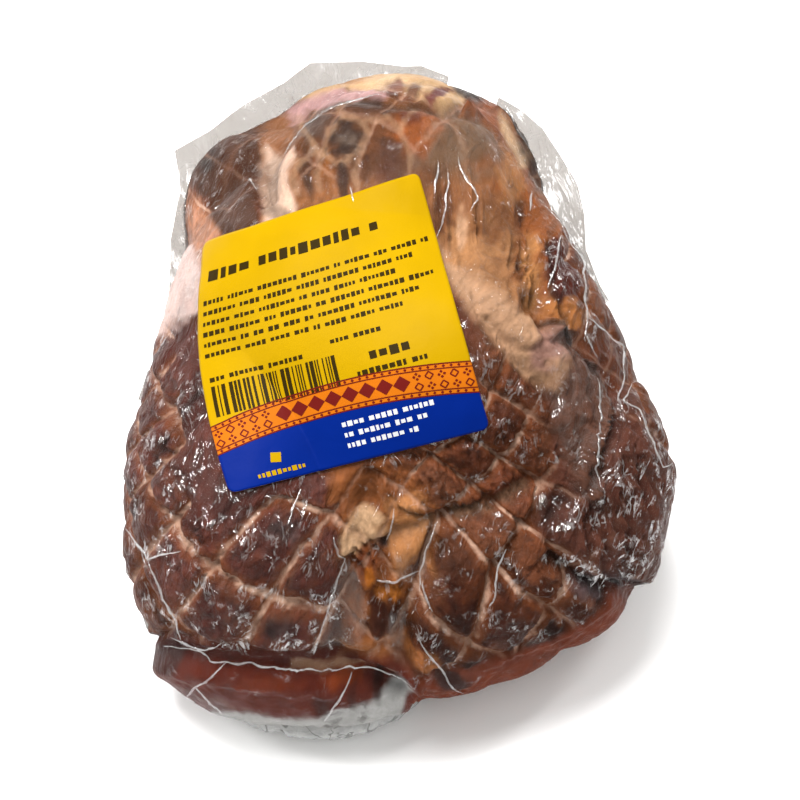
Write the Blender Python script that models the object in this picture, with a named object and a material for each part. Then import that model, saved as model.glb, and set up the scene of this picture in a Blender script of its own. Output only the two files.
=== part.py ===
"""A hot-smoked ham hock, shrink-wrapped in clear film, with a label stuck on it.

Lengths in the shape functions are millimetres, and metres once a mesh is made.
The body is a star-shaped form about HEART: a smooth maximum of named lobes,
with valleys, ridges and the pillows that the smoking net pressed into it.
What is laid out over the pack is drawn on a plane that faces the reader, who
looks at the pack from in front and VIEW_ELEVATION degrees above the floor.
On that plane x runs right and y up, both from the point that shows HEART.
"""

from collections import namedtuple
import math

import bmesh
import bpy
import numpy as np

MM = 0.001

# The reader's view, for what is laid out on the drawing plane
VIEW_ELEVATION = math.radians(60)
VIEW_DISTANCE = 800.0

# The body
HEART = np.array([0.0, 0.0, 42.0])
LOBE_BLEND = 6.0
SPHERE_CUTS = 7
EVEN_SPREAD = np.array([75.0, 95.0, 50.0])
BODY_FACES = 8600
FLAT_SNAP = 0.2

Lobe = namedtuple("Lobe", "name centre radii yaw")
LOBES = (
    Lobe("core", (-1, -5, 36), (64, 73, 42), 0),
    Lobe("neck", (-3, 32, 42), (44, 44, 46), 0),
    Lobe("hock", (-1, 51, 45), (40, 41, 46), 0),
    Lobe("crown", (-3, 76, 38), (38, 24, 34), 0),
    Lobe("tip", (18, 66, 41), (21, 20, 26), 0),
    Lobe("shoulder", (-36, 56, 35), (23, 32, 33), 30),
    Lobe("under the label", (-21, 17, 43), (43, 50, 46), 10),
    Lobe("left", (-40, -31, 38), (34, 48, 39), 6),
    Lobe("mid", (10, -4, 46), (45, 43, 48), 0),
    Lobe("flap", (37, 14, 41), (18, 37, 38), 14),
    Lobe("right", (51, -27, 34), (22, 31, 35), -14),
    Lobe("low right", (30, -44, 32), (31, 26, 33), 30),
    Lobe("low left", (-34, -47, 31), (32, 27, 31), -6),
    Lobe("slab", (-30, -63, 19), (35, 18, 19), -8),
    Lobe("heel", (2, -54, 28), (30, 22, 28), 0),
    Lobe("film tail", (-21, -64, 6), (28, 20, 6), 0),
)

# Valleys and ridges: points on the drawing plane, height (below 0 for a valley) and half width
Line = namedtuple("Line", "name points height half_width")
LINES = (
    Line("left side of the centre valley", ((-8, -22), (-13, -40), (-15, -55), (-19, -68)), -3.5, 3.5),
    Line("right side of the centre valley", ((10, -42), (2, -57), (1, -71)), -4.5, 3.5),
    Line("seam over the skin slab", ((-69, -68), (-54, -70), (-38, -72), (-19, -73), (0, -79)), -4.0, 2.8),
    Line("lip of the skin slab", ((-66, -72), (-52, -75), (-36, -77), (-19, -79)), 1.2, 2.2),
    Line("foot of the mid lobe", ((-2, -39), (12, -34), (26, -30), (36, -24)), -3.0, 3.0),
    Line("groove beside the flap", ((60, -3), (55, -18), (46, -26), (34, -40), (27, -51)), -3.0, 2.6),
    Line("foot of the right lobe", ((42, -45), (53, -51), (66, -53)), -3.5, 2.6),
    Line("left edge of the skin", ((-30, 77), (-36, 63), (-36, 53), (-30, 49)), -4.0, 3.2),
    Line("crack in the shoulder", ((-52, 54), (-45, 62), (-36, 70)), -3.0, 2.0),
    Line("lower edge of the skin", ((11, 40), (18, 30), (25, 23), (34, 11), (43, 1)), -2.6, 2.6),
    Line("roll along that edge", ((14, 43), (22, 33), (29, 26), (38, 15)), 1.2, 3.0),
    Line("head of the flap", ((36, 27), (41, 17), (48, 15), (53, 8)), -2.4, 2.6),
    Line("upper edge of the skin", ((-31, 79), (-15, 82), (6, 80), (18, 78), (24, 76)), -2.4, 2.4),
    Line("right edge of the skin", ((27, 71), (32, 56), (36, 41), (38, 27)), -2.0, 2.4),
    Line("fold inside that edge", ((13, 66), (14, 54), (12, 43)), -1.4, 1.8),
    Line("rim of rind", ((10, -77), (27, -75), (43, -69), (57, -60), (65, -55)), -1.8, 1.6),
)
HOLLOW_CENTRE = (-7.0, -54.0)
HOLLOW_RADII = (8.0, 17.0)
HOLLOW_DEPTH = 3.5

# The net's imprint: two families of cord lines, spread over the pack by arcs from the reader's side
NET_ARC_RADIUS = 58.0
NET_SLOPES = (math.radians(53), math.radians(-34))
NET_PITCH = 14.0
NET_CROSSING = (27.9, -50.7)
NET_DEPTH = 1.5
NET_LINE_SHARPNESS = 4.0
NET_WANDER = 0.16
# Bare skin, the flap, the wrinkled right lobe and the skin slab: centre and radii on the drawing plane
SMOOTH_PATCHES = (
    ((27.0, 45.0), (16.0, 30.0)),
    ((50.0, 3.0), (14.0, 20.0)),
    ((62.0, -28.0), (13.0, 22.0)),
    ((-30.0, -80.0), (45.0, 10.0)),
)
SMOOTHING = 0.85
SURFACE_SWELL = 0.8

# The film that stands out past the meat: width by the angle round the drawing plane
FILM_THICKNESS = 1.0
FILM_ROOT = 9.0
FILM_SECTIONS = 120
FILM_WIDTHS = (
    (-20, -2.0), (-5, 2.0), (15, 3.0), (29, 5.0), (45, 6.5), (58, 4.0), (70, 2.5), (80, 1.5),
    (95, 4.0), (107, 5.0), (120, 5.0), (131, 6.5), (139, 1.0), (155, 1.5), (170, 0.0), (186, -2.0),
    (208, -2.0), (217, 2.5), (224, -2.0), (300, -2.0),
)
RIM_SWEEP = np.radians(np.arange(-60.0, 61.0, 1.0))
RIM_SMOOTHING = 7

# The label, by its corners and how far its edges bow on the drawing plane
LABEL_TOP_LEFT = (-53.4, 43.0)
LABEL_TOP_RIGHT = (4.9, 62.2)
LABEL_BOTTOM_LEFT = (-46.6, -25.8)
LABEL_BOTTOM_RIGHT = (24.4, -7.7)
LABEL_LEFT_BOW = -4.5
LABEL_COLUMNS = 16
LABEL_ROWS = 16
LABEL_THICKNESS = 0.4
LABEL_GAP = 0.5
LABEL_CORNER = 0.07
LABEL_MARGIN = 3.0

FILM_COLOUR = (0.20, 0.075, 0.035, 1.0)
LABEL_COLOUR = (0.95, 0.62, 0.01, 1.0)

VIEW_RIGHT = np.array([1.0, 0.0, 0.0])
VIEW_UP = np.array([0.0, math.sin(VIEW_ELEVATION), math.cos(VIEW_ELEVATION)])
VIEW_BACK = np.array([0.0, -math.cos(VIEW_ELEVATION), math.sin(VIEW_ELEVATION)])


def unit(vectors):
    return vectors / np.linalg.norm(vectors, axis=-1, keepdims=True)


def smooth_step(values, low, high):
    t = np.clip((values - low) / (high - low), 0.0, 1.0)
    return t * t * (3.0 - 2.0 * t)


def waves(points, wavelength, seed, count=9):
    """Smooth seeded noise between about -1 and 1: a sum of plane waves."""
    rng = np.random.default_rng(seed)
    directions = unit(rng.normal(size=(count, 3)))
    lengths = wavelength * rng.uniform(0.7, 1.5, count)
    phases = rng.uniform(0, 2 * math.pi, count)
    total = np.sin(points @ (directions * 2 * math.pi / lengths[:, None]).T + phases)
    return total.sum(axis=-1) / math.sqrt(2 * count)


def on_drawing_plane(points):
    """Where the reader sees these points: x and y on the drawing plane."""
    offset = points - HEART
    nearness = VIEW_DISTANCE / (VIEW_DISTANCE - offset @ VIEW_BACK)
    return np.stack([offset @ VIEW_RIGHT * nearness, offset @ VIEW_UP * nearness], axis=-1)


def lobe_reach(lobe, directions):
    """The distance from HEART to the lobe's far side in each direction."""
    yaw = math.radians(lobe.yaw)
    turn = np.array([
        [math.cos(yaw), math.sin(yaw), 0.0],
        [-math.sin(yaw), math.cos(yaw), 0.0],
        [0.0, 0.0, 1.0],
    ])
    to_sphere = turn / np.array(lobe.radii, float)[:, None]
    start = to_sphere @ (HEART - np.array(lobe.centre, float))
    step = directions @ to_sphere.T
    a = (step * step).sum(axis=-1)
    b = step @ start
    c = start @ start - 1.0
    inside = b * b - a * c
    # Past the lobe's edge the root goes on below zero, so that the reach falls smoothly
    return (-b + np.sign(inside) * np.sqrt(np.abs(inside))) / a


def floor_reach(directions):
    down = np.minimum(directions[:, 2], -1e-6)
    return np.where(directions[:, 2] < -1e-6, -HEART[2] / down, np.inf)


def lobed_reach(directions):
    reaches = np.stack([lobe_reach(lobe, directions) for lobe in LOBES], axis=-1)
    farthest = reaches.max(axis=-1, keepdims=True)
    blended = np.exp((reaches - farthest) / LOBE_BLEND).sum(axis=-1)
    return farthest[:, 0] + LOBE_BLEND * np.log(blended)


def distance_to_line(places, corners):
    nearest = np.full(len(places), np.inf)
    for start, end in zip(corners[:-1], corners[1:]):
        start, end = np.array(start, float), np.array(end, float)
        along = end - start
        t = np.clip((places - start) @ along / (along @ along), 0.0, 1.0)
        gap = np.linalg.norm(places - start - t[:, None] * along, axis=-1)
        nearest = np.minimum(nearest, gap)
    return nearest


def label_place(across, down):
    """The drawing-plane place of the label's point (across, down), both 0 to 1."""
    across, down = np.asarray(across, float)[..., None], np.asarray(down, float)[..., None]
    top = np.array(LABEL_TOP_LEFT) * (1 - across) + np.array(LABEL_TOP_RIGHT) * across
    bottom = np.array(LABEL_BOTTOM_LEFT) * (1 - across) + np.array(LABEL_BOTTOM_RIGHT) * across
    bow = LABEL_LEFT_BOW * np.sin(math.pi * down) * (1 - across)
    return top * (1 - down) + bottom * down + bow * np.array([1.0, 0.0])


def label_cover(places):
    """1 under the label and 0 clear of it, on the drawing plane."""
    side = np.array(LABEL_BOTTOM_LEFT) - np.array(LABEL_TOP_LEFT)
    head = np.array(LABEL_TOP_RIGHT) - np.array(LABEL_TOP_LEFT)
    frame = np.stack([head, side], axis=-1)
    inside = (places - np.array(LABEL_TOP_LEFT)) @ np.linalg.inv(frame).T
    size = np.array([np.linalg.norm(head), np.linalg.norm(side)])
    beyond = np.abs(inside - 0.5) * size - size / 2 - np.array([11.0, 4.0])
    return 1.0 - smooth_step(beyond.max(axis=-1), 0.0, LABEL_MARGIN)


def arc_places(directions):
    """Spreads directions flat: the distance from the middle is the arc from the reader's side."""
    turn = np.arccos(np.clip(directions @ VIEW_BACK, -1.0, 1.0))
    flat = np.stack([directions @ VIEW_RIGHT, directions @ VIEW_UP], axis=-1)
    length = np.maximum(np.linalg.norm(flat, axis=-1), 1e-9)
    return flat * (NET_ARC_RADIUS * turn / length)[:, None]


def net_relief(points, directions):
    """Pillows between the cord lines: below 0 on a line and above it inside a cell."""
    crossing = seen_points(np.array([NET_CROSSING]))
    places = arc_places(directions) - arc_places(unit(crossing - HEART))
    wander = NET_WANDER * waves(points, 45.0, 11)
    relief = np.full(len(points), 0.4)
    for slope in NET_SLOPES:
        across = places @ np.array([-math.sin(slope), math.cos(slope)]) / NET_PITCH + wander
        relief -= np.exp(-NET_LINE_SHARPNESS * np.abs(np.sin(math.pi * across)))
    return relief


def net_strength(places, faces_reader):
    """The imprint is faint on the smooth patches, which lie on the reader's side."""
    smooth = np.zeros(len(places))
    for centre, radii in SMOOTH_PATCHES:
        away = np.linalg.norm((places - np.array(centre)) / np.array(radii), axis=-1)
        smooth = np.maximum(smooth, 1.0 - smooth_step(away, 0.8, 1.2))
    return 1.0 - SMOOTHING * smooth * faces_reader


def body_points(directions):
    """The body's surface in these directions from HEART."""
    reach = lobed_reach(directions)
    points = HEART + directions * reach[:, None]
    places = on_drawing_plane(points)
    faces_reader = smooth_step(directions @ VIEW_BACK, -0.15, 0.10)
    bare = 1.0 - label_cover(places) * faces_reader
    relief = SURFACE_SWELL * waves(points, 30.0, 3)
    relief += NET_DEPTH * net_relief(points, directions) * net_strength(places, faces_reader)
    drawn = np.zeros(len(points))
    for line in LINES:
        away = distance_to_line(places, line.points) / line.half_width
        drawn += line.height * np.exp(-away * away)
    hollow = (places - np.array(HOLLOW_CENTRE)) / np.array(HOLLOW_RADII)
    drawn -= HOLLOW_DEPTH * np.exp(-(hollow * hollow).sum(axis=-1))
    reach = reach + (relief + drawn * faces_reader) * bare
    reach = np.minimum(reach, floor_reach(directions))
    return HEART + directions * reach[:, None]


def seen_points(places):
    """The points of the lobed form that the reader sees at these drawing-plane places."""
    eye = HEART + VIEW_BACK * VIEW_DISTANCE
    on_plane = HEART + places[:, :1] * VIEW_RIGHT + places[:, 1:] * VIEW_UP
    rays = unit(on_plane - eye)
    near = np.full(len(places), VIEW_DISTANCE - 120.0)
    far = np.full(len(places), VIEW_DISTANCE)
    for _ in range(40):
        middle = (near + far) / 2
        points = eye + rays * middle[:, None]
        outward = points - HEART
        distance = np.linalg.norm(outward, axis=-1)
        outside = distance > lobed_reach(outward / distance[:, None])
        near = np.where(outside, middle, near)
        far = np.where(outside, far, middle)
    return eye + rays * near[:, None]


def outward_normals(grid):
    """Unit normals of a (rows, columns, 3) grid of points, turned away from HEART."""
    normals = unit(np.cross(np.gradient(grid, axis=0), np.gradient(grid, axis=1)))
    facing = np.sign(((grid - HEART) * normals).sum(axis=-1, keepdims=True))
    return normals * facing


def rim_points(angles):
    """Where the form's edge shows at each angle round the drawing plane, smoothed along the rim."""
    rim = []
    for angle in angles:
        outward = math.cos(angle) * VIEW_RIGHT + math.sin(angle) * VIEW_UP
        directions = np.cos(RIM_SWEEP)[:, None] * outward + np.sin(RIM_SWEEP)[:, None] * VIEW_BACK
        points = HEART + directions * np.minimum(lobed_reach(directions), floor_reach(directions))[:, None]
        rim.append(points[np.argmax((points - HEART) @ outward)])
    rim = np.array(rim)
    steps = range(-RIM_SMOOTHING, RIM_SMOOTHING + 1)
    depth = sum(np.roll((rim - HEART) @ VIEW_BACK, step) for step in steps) / len(steps)
    flat = rim - ((rim - HEART) @ VIEW_BACK)[:, None] * VIEW_BACK
    return flat + depth[:, None] * VIEW_BACK


def new_object(name, vertices, faces, colour, roughness):
    mesh = bpy.data.meshes.new(name)
    mesh.from_pydata([tuple(v) for v in np.asarray(vertices) * MM], [], faces)
    material = bpy.data.materials.new(name + " material")
    material.use_nodes = True
    shader = material.node_tree.nodes["Principled BSDF"]
    shader.inputs["Base Color"].default_value = colour
    shader.inputs["Roughness"].default_value = roughness
    mesh.materials.append(material)
    made = bpy.data.objects.new(name, mesh)
    bpy.context.scene.collection.objects.link(made)
    mesh.shade_smooth()
    return made


def apply_modifiers(made):
    """Puts the evaluated mesh in place of the object's own."""
    graph = bpy.context.evaluated_depsgraph_get()
    finished = bpy.data.meshes.new_from_object(made.evaluated_get(graph))
    made.modifiers.clear()
    made.data = finished


def make_body():
    sphere = bmesh.new()
    bmesh.ops.create_icosphere(sphere, subdivisions=SPHERE_CUTS, radius=1.0)
    directions = unit(np.array([tuple(v.co) for v in sphere.verts]) * EVEN_SPREAD)
    faces = [[v.index for v in face.verts] for face in sphere.faces]
    sphere.free()
    body = new_object("bag", body_points(directions), faces, FILM_COLOUR, 0.15)
    fewer = body.modifiers.new("Fewer faces", "DECIMATE")
    fewer.ratio = BODY_FACES / len(faces)
    apply_modifiers(body)
    for vertex in body.data.vertices:
        if vertex.co.z < FLAT_SNAP * MM:
            vertex.co.z = 0.0
    return body


def make_film_edge():
    """A closed ring of film round the rim, which dips inside the body where none stands out."""
    degrees = np.arange(FILM_SECTIONS) * 360.0 / FILM_SECTIONS
    angles = np.radians(degrees)
    marks = np.array([mark for mark, _ in FILM_WIDTHS], float)
    widths = np.array([width for _, width in FILM_WIDTHS], float)
    width = np.interp(degrees, marks, widths, period=360)
    ripple = 0.6 * np.sin(9 * angles) + 0.4 * np.sin(23 * angles + 1.0)
    outward = np.cos(angles)[:, None] * VIEW_RIGHT + np.sin(angles)[:, None] * VIEW_UP
    rim = rim_points(angles)
    inner = rim - outward * FILM_ROOT
    outer = rim + outward * width[:, None] + ripple[:, None] * VIEW_BACK
    half = VIEW_BACK * FILM_THICKNESS / 2
    sections = np.stack([inner + half, outer + half, outer - half, inner - half], axis=1)
    sections[:, :, 2] = np.maximum(sections[:, :, 2], FILM_THICKNESS)
    faces = []
    for i in range(FILM_SECTIONS):
        j = (i + 1) % FILM_SECTIONS
        for a in range(4):
            b = (a + 1) % 4
            faces.append((4 * i + a, 4 * i + b, 4 * j + b, 4 * j + a))
    return new_object("film edge", sections.reshape(-1, 3), faces, FILM_COLOUR, 0.15)


def join_film(body, film):
    union = body.modifiers.new("Film edge", "BOOLEAN")
    union.operation = "UNION"
    union.object = film
    apply_modifiers(body)
    bpy.data.objects.remove(film)


def rounded(across, down):
    """Pulls the corners of the unit square in, so that the label's corners are round."""
    x, y = 2 * across - 1, 2 * down - 1
    over_x = np.maximum(np.abs(x) - (1 - 2 * LABEL_CORNER), 0) / (2 * LABEL_CORNER)
    over_y = np.maximum(np.abs(y) - (1 - 2 * LABEL_CORNER), 0) / (2 * LABEL_CORNER)
    reach = np.maximum(np.hypot(over_x, over_y), 1e-9)
    pull = np.where(reach > 1, np.maximum(over_x, over_y) / reach, 1.0)
    x = np.where(over_x > 0, np.sign(x) * (1 - 2 * LABEL_CORNER * (1 - over_x * pull)), x)
    y = np.where(over_y > 0, np.sign(y) * (1 - 2 * LABEL_CORNER * (1 - over_y * pull)), y)
    return (x + 1) / 2, (y + 1) / 2


def make_label():
    down, across = np.meshgrid(
        np.linspace(0, 1, LABEL_ROWS + 1), np.linspace(0, 1, LABEL_COLUMNS + 1), indexing="ij"
    )
    across, down = rounded(across, down)
    places = label_place(across, down).reshape(-1, 2)
    surface = seen_points(places).reshape(LABEL_ROWS + 1, LABEL_COLUMNS + 1, 3)
    normals = outward_normals(surface)
    under = surface + normals * LABEL_GAP
    over = under + normals * LABEL_THICKNESS
    vertices = np.concatenate([over.reshape(-1, 3), under.reshape(-1, 3)])
    count = (LABEL_ROWS + 1) * (LABEL_COLUMNS + 1)
    row = LABEL_COLUMNS + 1
    faces = []
    for i in range(LABEL_ROWS):
        for j in range(LABEL_COLUMNS):
            a, b, c, d = i * row + j, i * row + j + 1, (i + 1) * row + j + 1, (i + 1) * row + j
            faces += [(a, d, c), (a, c, b)]
            faces += [(a + count, c + count, d + count), (a + count, b + count, c + count)]
    edge = [(0, j) for j in range(LABEL_COLUMNS)]
    edge += [(i, LABEL_COLUMNS) for i in range(LABEL_ROWS)]
    edge += [(LABEL_ROWS, j) for j in range(LABEL_COLUMNS, 0, -1)]
    edge += [(i, 0) for i in range(LABEL_ROWS, 0, -1)]
    loop = [i * row + j for i, j in edge]
    for a, b in zip(loop, loop[1:] + loop[:1]):
        faces += [(a, b, b + count), (a, b + count, a + count)]
    return new_object("label", vertices, faces, LABEL_COLOUR, 0.35)


def centre_on_origin(objects):
    """Moves the meshes so that their common box stands on the origin."""
    points = np.array([tuple(v.co) for made in objects for v in made.data.vertices])
    middle = (points.min(axis=0) + points.max(axis=0)) / 2
    for made in objects:
        for vertex in made.data.vertices:
            vertex.co.x -= middle[0]
            vertex.co.y -= middle[1]


def main():
    for old in list(bpy.data.objects):
        bpy.data.objects.remove(old)
    body = make_body()
    join_film(body, make_film_edge())
    label = make_label()
    centre_on_origin([body, label])


main()
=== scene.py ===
"""Looks of the shrink-wrapped smoked ham hock: the meat, the film over it and the printed label.

Shape functions work in millimetres about HEART, the point that the form is built around, with the
same lobes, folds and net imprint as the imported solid. What is laid out over the pack is drawn on a
plane that faces the reader: x runs right and y up, both from the point that shows HEART.
"""

from collections import namedtuple
import math

import bpy
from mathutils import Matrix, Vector, kdtree
import numpy as np


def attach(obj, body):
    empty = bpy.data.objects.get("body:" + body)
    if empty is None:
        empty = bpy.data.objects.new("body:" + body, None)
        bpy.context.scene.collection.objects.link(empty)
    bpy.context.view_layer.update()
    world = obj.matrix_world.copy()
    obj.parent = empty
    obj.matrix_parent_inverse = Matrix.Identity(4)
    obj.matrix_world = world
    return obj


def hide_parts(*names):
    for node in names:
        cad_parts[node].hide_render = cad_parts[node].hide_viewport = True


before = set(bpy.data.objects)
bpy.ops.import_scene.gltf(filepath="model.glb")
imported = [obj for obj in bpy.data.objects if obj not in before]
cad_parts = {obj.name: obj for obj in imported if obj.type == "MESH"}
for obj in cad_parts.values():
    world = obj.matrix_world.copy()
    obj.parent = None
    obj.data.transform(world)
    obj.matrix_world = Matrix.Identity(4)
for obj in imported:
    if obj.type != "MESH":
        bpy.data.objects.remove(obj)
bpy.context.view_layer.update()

MM = 0.001

# The reader's view, which is the photograph's
VIEW_ELEVATION = math.radians(60)
VIEW_DISTANCE = 800.0
PICTURE_WIDTH = 219.2
SENSOR = 36.0
VIEW_RIGHT = np.array([1.0, 0.0, 0.0])
VIEW_UP = np.array([0.0, math.sin(VIEW_ELEVATION), math.cos(VIEW_ELEVATION)])
VIEW_BACK = np.array([0.0, -math.cos(VIEW_ELEVATION), math.sin(VIEW_ELEVATION)])

# The form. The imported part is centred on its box, and this form is moved onto it by SHIFT
HEART = np.array([0.0, 0.0, 42.0])
SHIFT = np.array([-0.1, -8.8, 0.0])
LOBE_BLEND = 6.0
Lobe = namedtuple("Lobe", "name centre radii yaw")
MEAT_LOBES = (
    Lobe("core", (-1, -5, 36), (64, 73, 42), 0),
    Lobe("neck", (-3, 32, 42), (44, 44, 46), 0),
    Lobe("hock", (-1, 51, 45), (40, 41, 46), 0),
    Lobe("crown", (-3, 76, 38), (38, 24, 34), 0),
    Lobe("tip", (18, 66, 41), (21, 20, 26), 0),
    Lobe("shoulder", (-36, 56, 35), (23, 32, 33), 30),
    Lobe("left", (-40, -31, 38), (34, 48, 39), 6),
    Lobe("mid", (10, -4, 46), (45, 43, 48), 0),
    Lobe("flap", (37, 14, 41), (18, 37, 38), 14),
    Lobe("right", (51, -27, 34), (22, 31, 35), -14),
    Lobe("low right", (30, -44, 32), (31, 26, 33), 30),
    Lobe("low left", (-34, -47, 31), (32, 27, 31), -6),
    Lobe("slab", (-30, -63, 19), (35, 18, 19), -8),
    Lobe("heel", (2, -54, 28), (30, 22, 28), 0),
)
FILM_LOBES = (
    Lobe("under the label", (-21, 17, 43), (43, 50, 46), 10),
    Lobe("film tail", (-21, -64, 6), (28, 20, 6), 0),
)
ALL_LOBES = MEAT_LOBES + FILM_LOBES
CLEAR_OF_TAIL = MEAT_LOBES + FILM_LOBES[:1]
SEARCH_DEPTH = 120.0
SEARCH_ROUNDS = 26

# Folds: points on the drawing plane, height (below 0 for a valley) and half width
Line = namedtuple("Line", "points height half_width")
FOLDS = {
    "left side of the centre valley": Line(((-8, -22), (-13, -40), (-15, -55), (-19, -68)), -3.5, 3.5),
    "right side of the centre valley": Line(((10, -42), (2, -57), (1, -71)), -4.5, 3.5),
    "seam over the skin slab": Line(((-69, -68), (-54, -70), (-38, -72), (-19, -73), (0, -79)), -4, 2.8),
    "lip of the skin slab": Line(((-66, -72), (-52, -75), (-36, -77), (-19, -79)), 1.2, 2.2),
    "foot of the mid lobe": Line(((-2, -39), (12, -34), (26, -30), (36, -24)), -3, 3),
    "groove beside the flap": Line(((60, -3), (55, -18), (46, -26), (34, -40), (27, -51)), -3, 2.6),
    "foot of the right lobe": Line(((42, -45), (53, -51), (66, -53)), -3.5, 2.6),
    "left edge of the skin": Line(((-30, 77), (-36, 63), (-36, 53), (-30, 49)), -4, 3.2),
    "crack in the shoulder": Line(((-52, 54), (-45, 62), (-36, 70)), -3, 2),
    "lower edge of the skin": Line(((11, 40), (18, 30), (25, 23), (34, 11), (43, 1)), -2.6, 2.6),
    "roll along that edge": Line(((14, 43), (22, 33), (29, 26), (38, 15)), 1.2, 3),
    "head of the flap": Line(((36, 27), (41, 17), (48, 15), (53, 8)), -2.4, 2.6),
    "upper edge of the skin": Line(((-31, 79), (-15, 82), (6, 80), (18, 78), (24, 76)), -2.4, 2.4),
    "right edge of the skin": Line(((27, 71), (32, 56), (36, 41), (38, 27)), -2, 2.4),
    "fold inside that edge": Line(((13, 66), (14, 54), (12, 43)), -1.4, 1.8),
    "rim of rind": Line(((10, -77), (27, -75), (43, -69), (57, -60), (65, -55)), -1.8, 1.6),
}
HOLLOW_CENTRE = (-7.0, -54.0)
HOLLOW_RADII = (8.0, 17.0)
HOLLOW_DEPTH = 3.5

# Lines where one piece of the surface folds under the next: grooved, and darkened with painted shade
DARK_LINES = (
    ((-68, -15.6), (-60.3, -3.6), (-55.3, 2.2)),
    ((-74.4, -32.8), (-68.6, -18.1), (-64.1, -9.8)),
    ((-52, -35.3), (-46.3, -27.7), (-40, -25.1)),
    ((-73.1, -43), (-71.2, -49.9), (-67.4, -58.9), (-62.9, -65.9)),
    ((41.6, -40.7), (41, -35.6), (44.9, -29.2), (53.2, -22.1), (55.8, -13.7), (59.6, -7.3)),
    ((42.2, -42.6), (46.8, -47.8), (53.2, -51), (62.2, -51.6), (67.9, -51)),
    ((10, -75), (22, -73.8), (40.6, -66.8), (52.6, -58.2), (59.6, -50.5)),
    ((9.6, -35.6), (5.7, -49.7), (2.5, -60), (1.2, -67)),
    ((0, -30.4), (8.2, -34.2), (15.9, -33), (24.9, -27.9)),
    ((-50.7, 56.2), (-44.4, 64.7)),
    ((37.3, 20.8), (44, 20), (53.4, 9), (58.6, -3.3), (56.2, -19)),
    ((40.2, 42.5), (41, 30), (47, 21)),
)
DARK_LINE_WIDTH = 0.9
DARK_LINE_DEPTH = 1.1

# The net's imprint
NET_ARC_RADIUS = 58.0
NET_SLOPES = (math.radians(53), math.radians(-34))
NET_PITCH = 14.0
NET_CROSSING = (27.9, -50.7)
NET_DEPTH = 1.5
NET_SHARPNESS = 4.0
NET_WANDER = 0.16
NET_CORD_DEPTH = 1.3
NET_CORD_WIDTH = 0.9
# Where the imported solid's imprint fades too: centre and radii
SMOOTH_PATCHES = (
    ((27.0, 45.0), (16.0, 30.0)),
    ((50.0, 3.0), (14.0, 20.0)),
    ((62.0, -28.0), (13.0, 22.0)),
    ((-30.0, -80.0), (45.0, 10.0)),
)
SMOOTHING = 0.85
SURFACE_SWELL = 0.8

# Centre and radii, turn of the frame, squeeze along its folds, wavelength, height, seed
WRINKLED = (
    ((61, -27), (17, 28), 12, 0.35, 4.6, 0.95, 51),
    ((15, 53), (9, 18), 4, 0.1, 4.2, 1.3, 52),
    ((36, 45), (8, 26), -6, 0.3, 4.5, 0.9, 53),
    ((-25, 62), (12, 18), 0, 0.4, 5, 0.9, 54),
    ((-46, 60), (14, 18), 35, 0.4, 5, 0.9, 55),
    ((-8, -55), (12, 18), 10, 0.6, 6, 0.6, 56),
    ((52, 0), (10, 20), 10, 0.12, 4, 0.4, 57),
    ((-58, -20), (16, 36), 8, 0.3, 5, 0.8, 58),
    ((44, -62), (26, 10), -60, 0.3, 4.5, 0.7, 59),
    ((-40, -40), (24, 28), -40, 0.4, 5, 0.5, 60),
    ((18, -20), (28, 20), 20, 0.5, 5, 0.5, 61),
)

# Meshes
FINE_CELLS = 310
FILM_CELLS = 240
BASE_CELLS = 110
CAP_ANGLE = math.radians(100)
BASE_ANGLE = math.radians(86)
BASE_DROP = 0.3
FLOOR_CLEARANCE = 0.3

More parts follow.
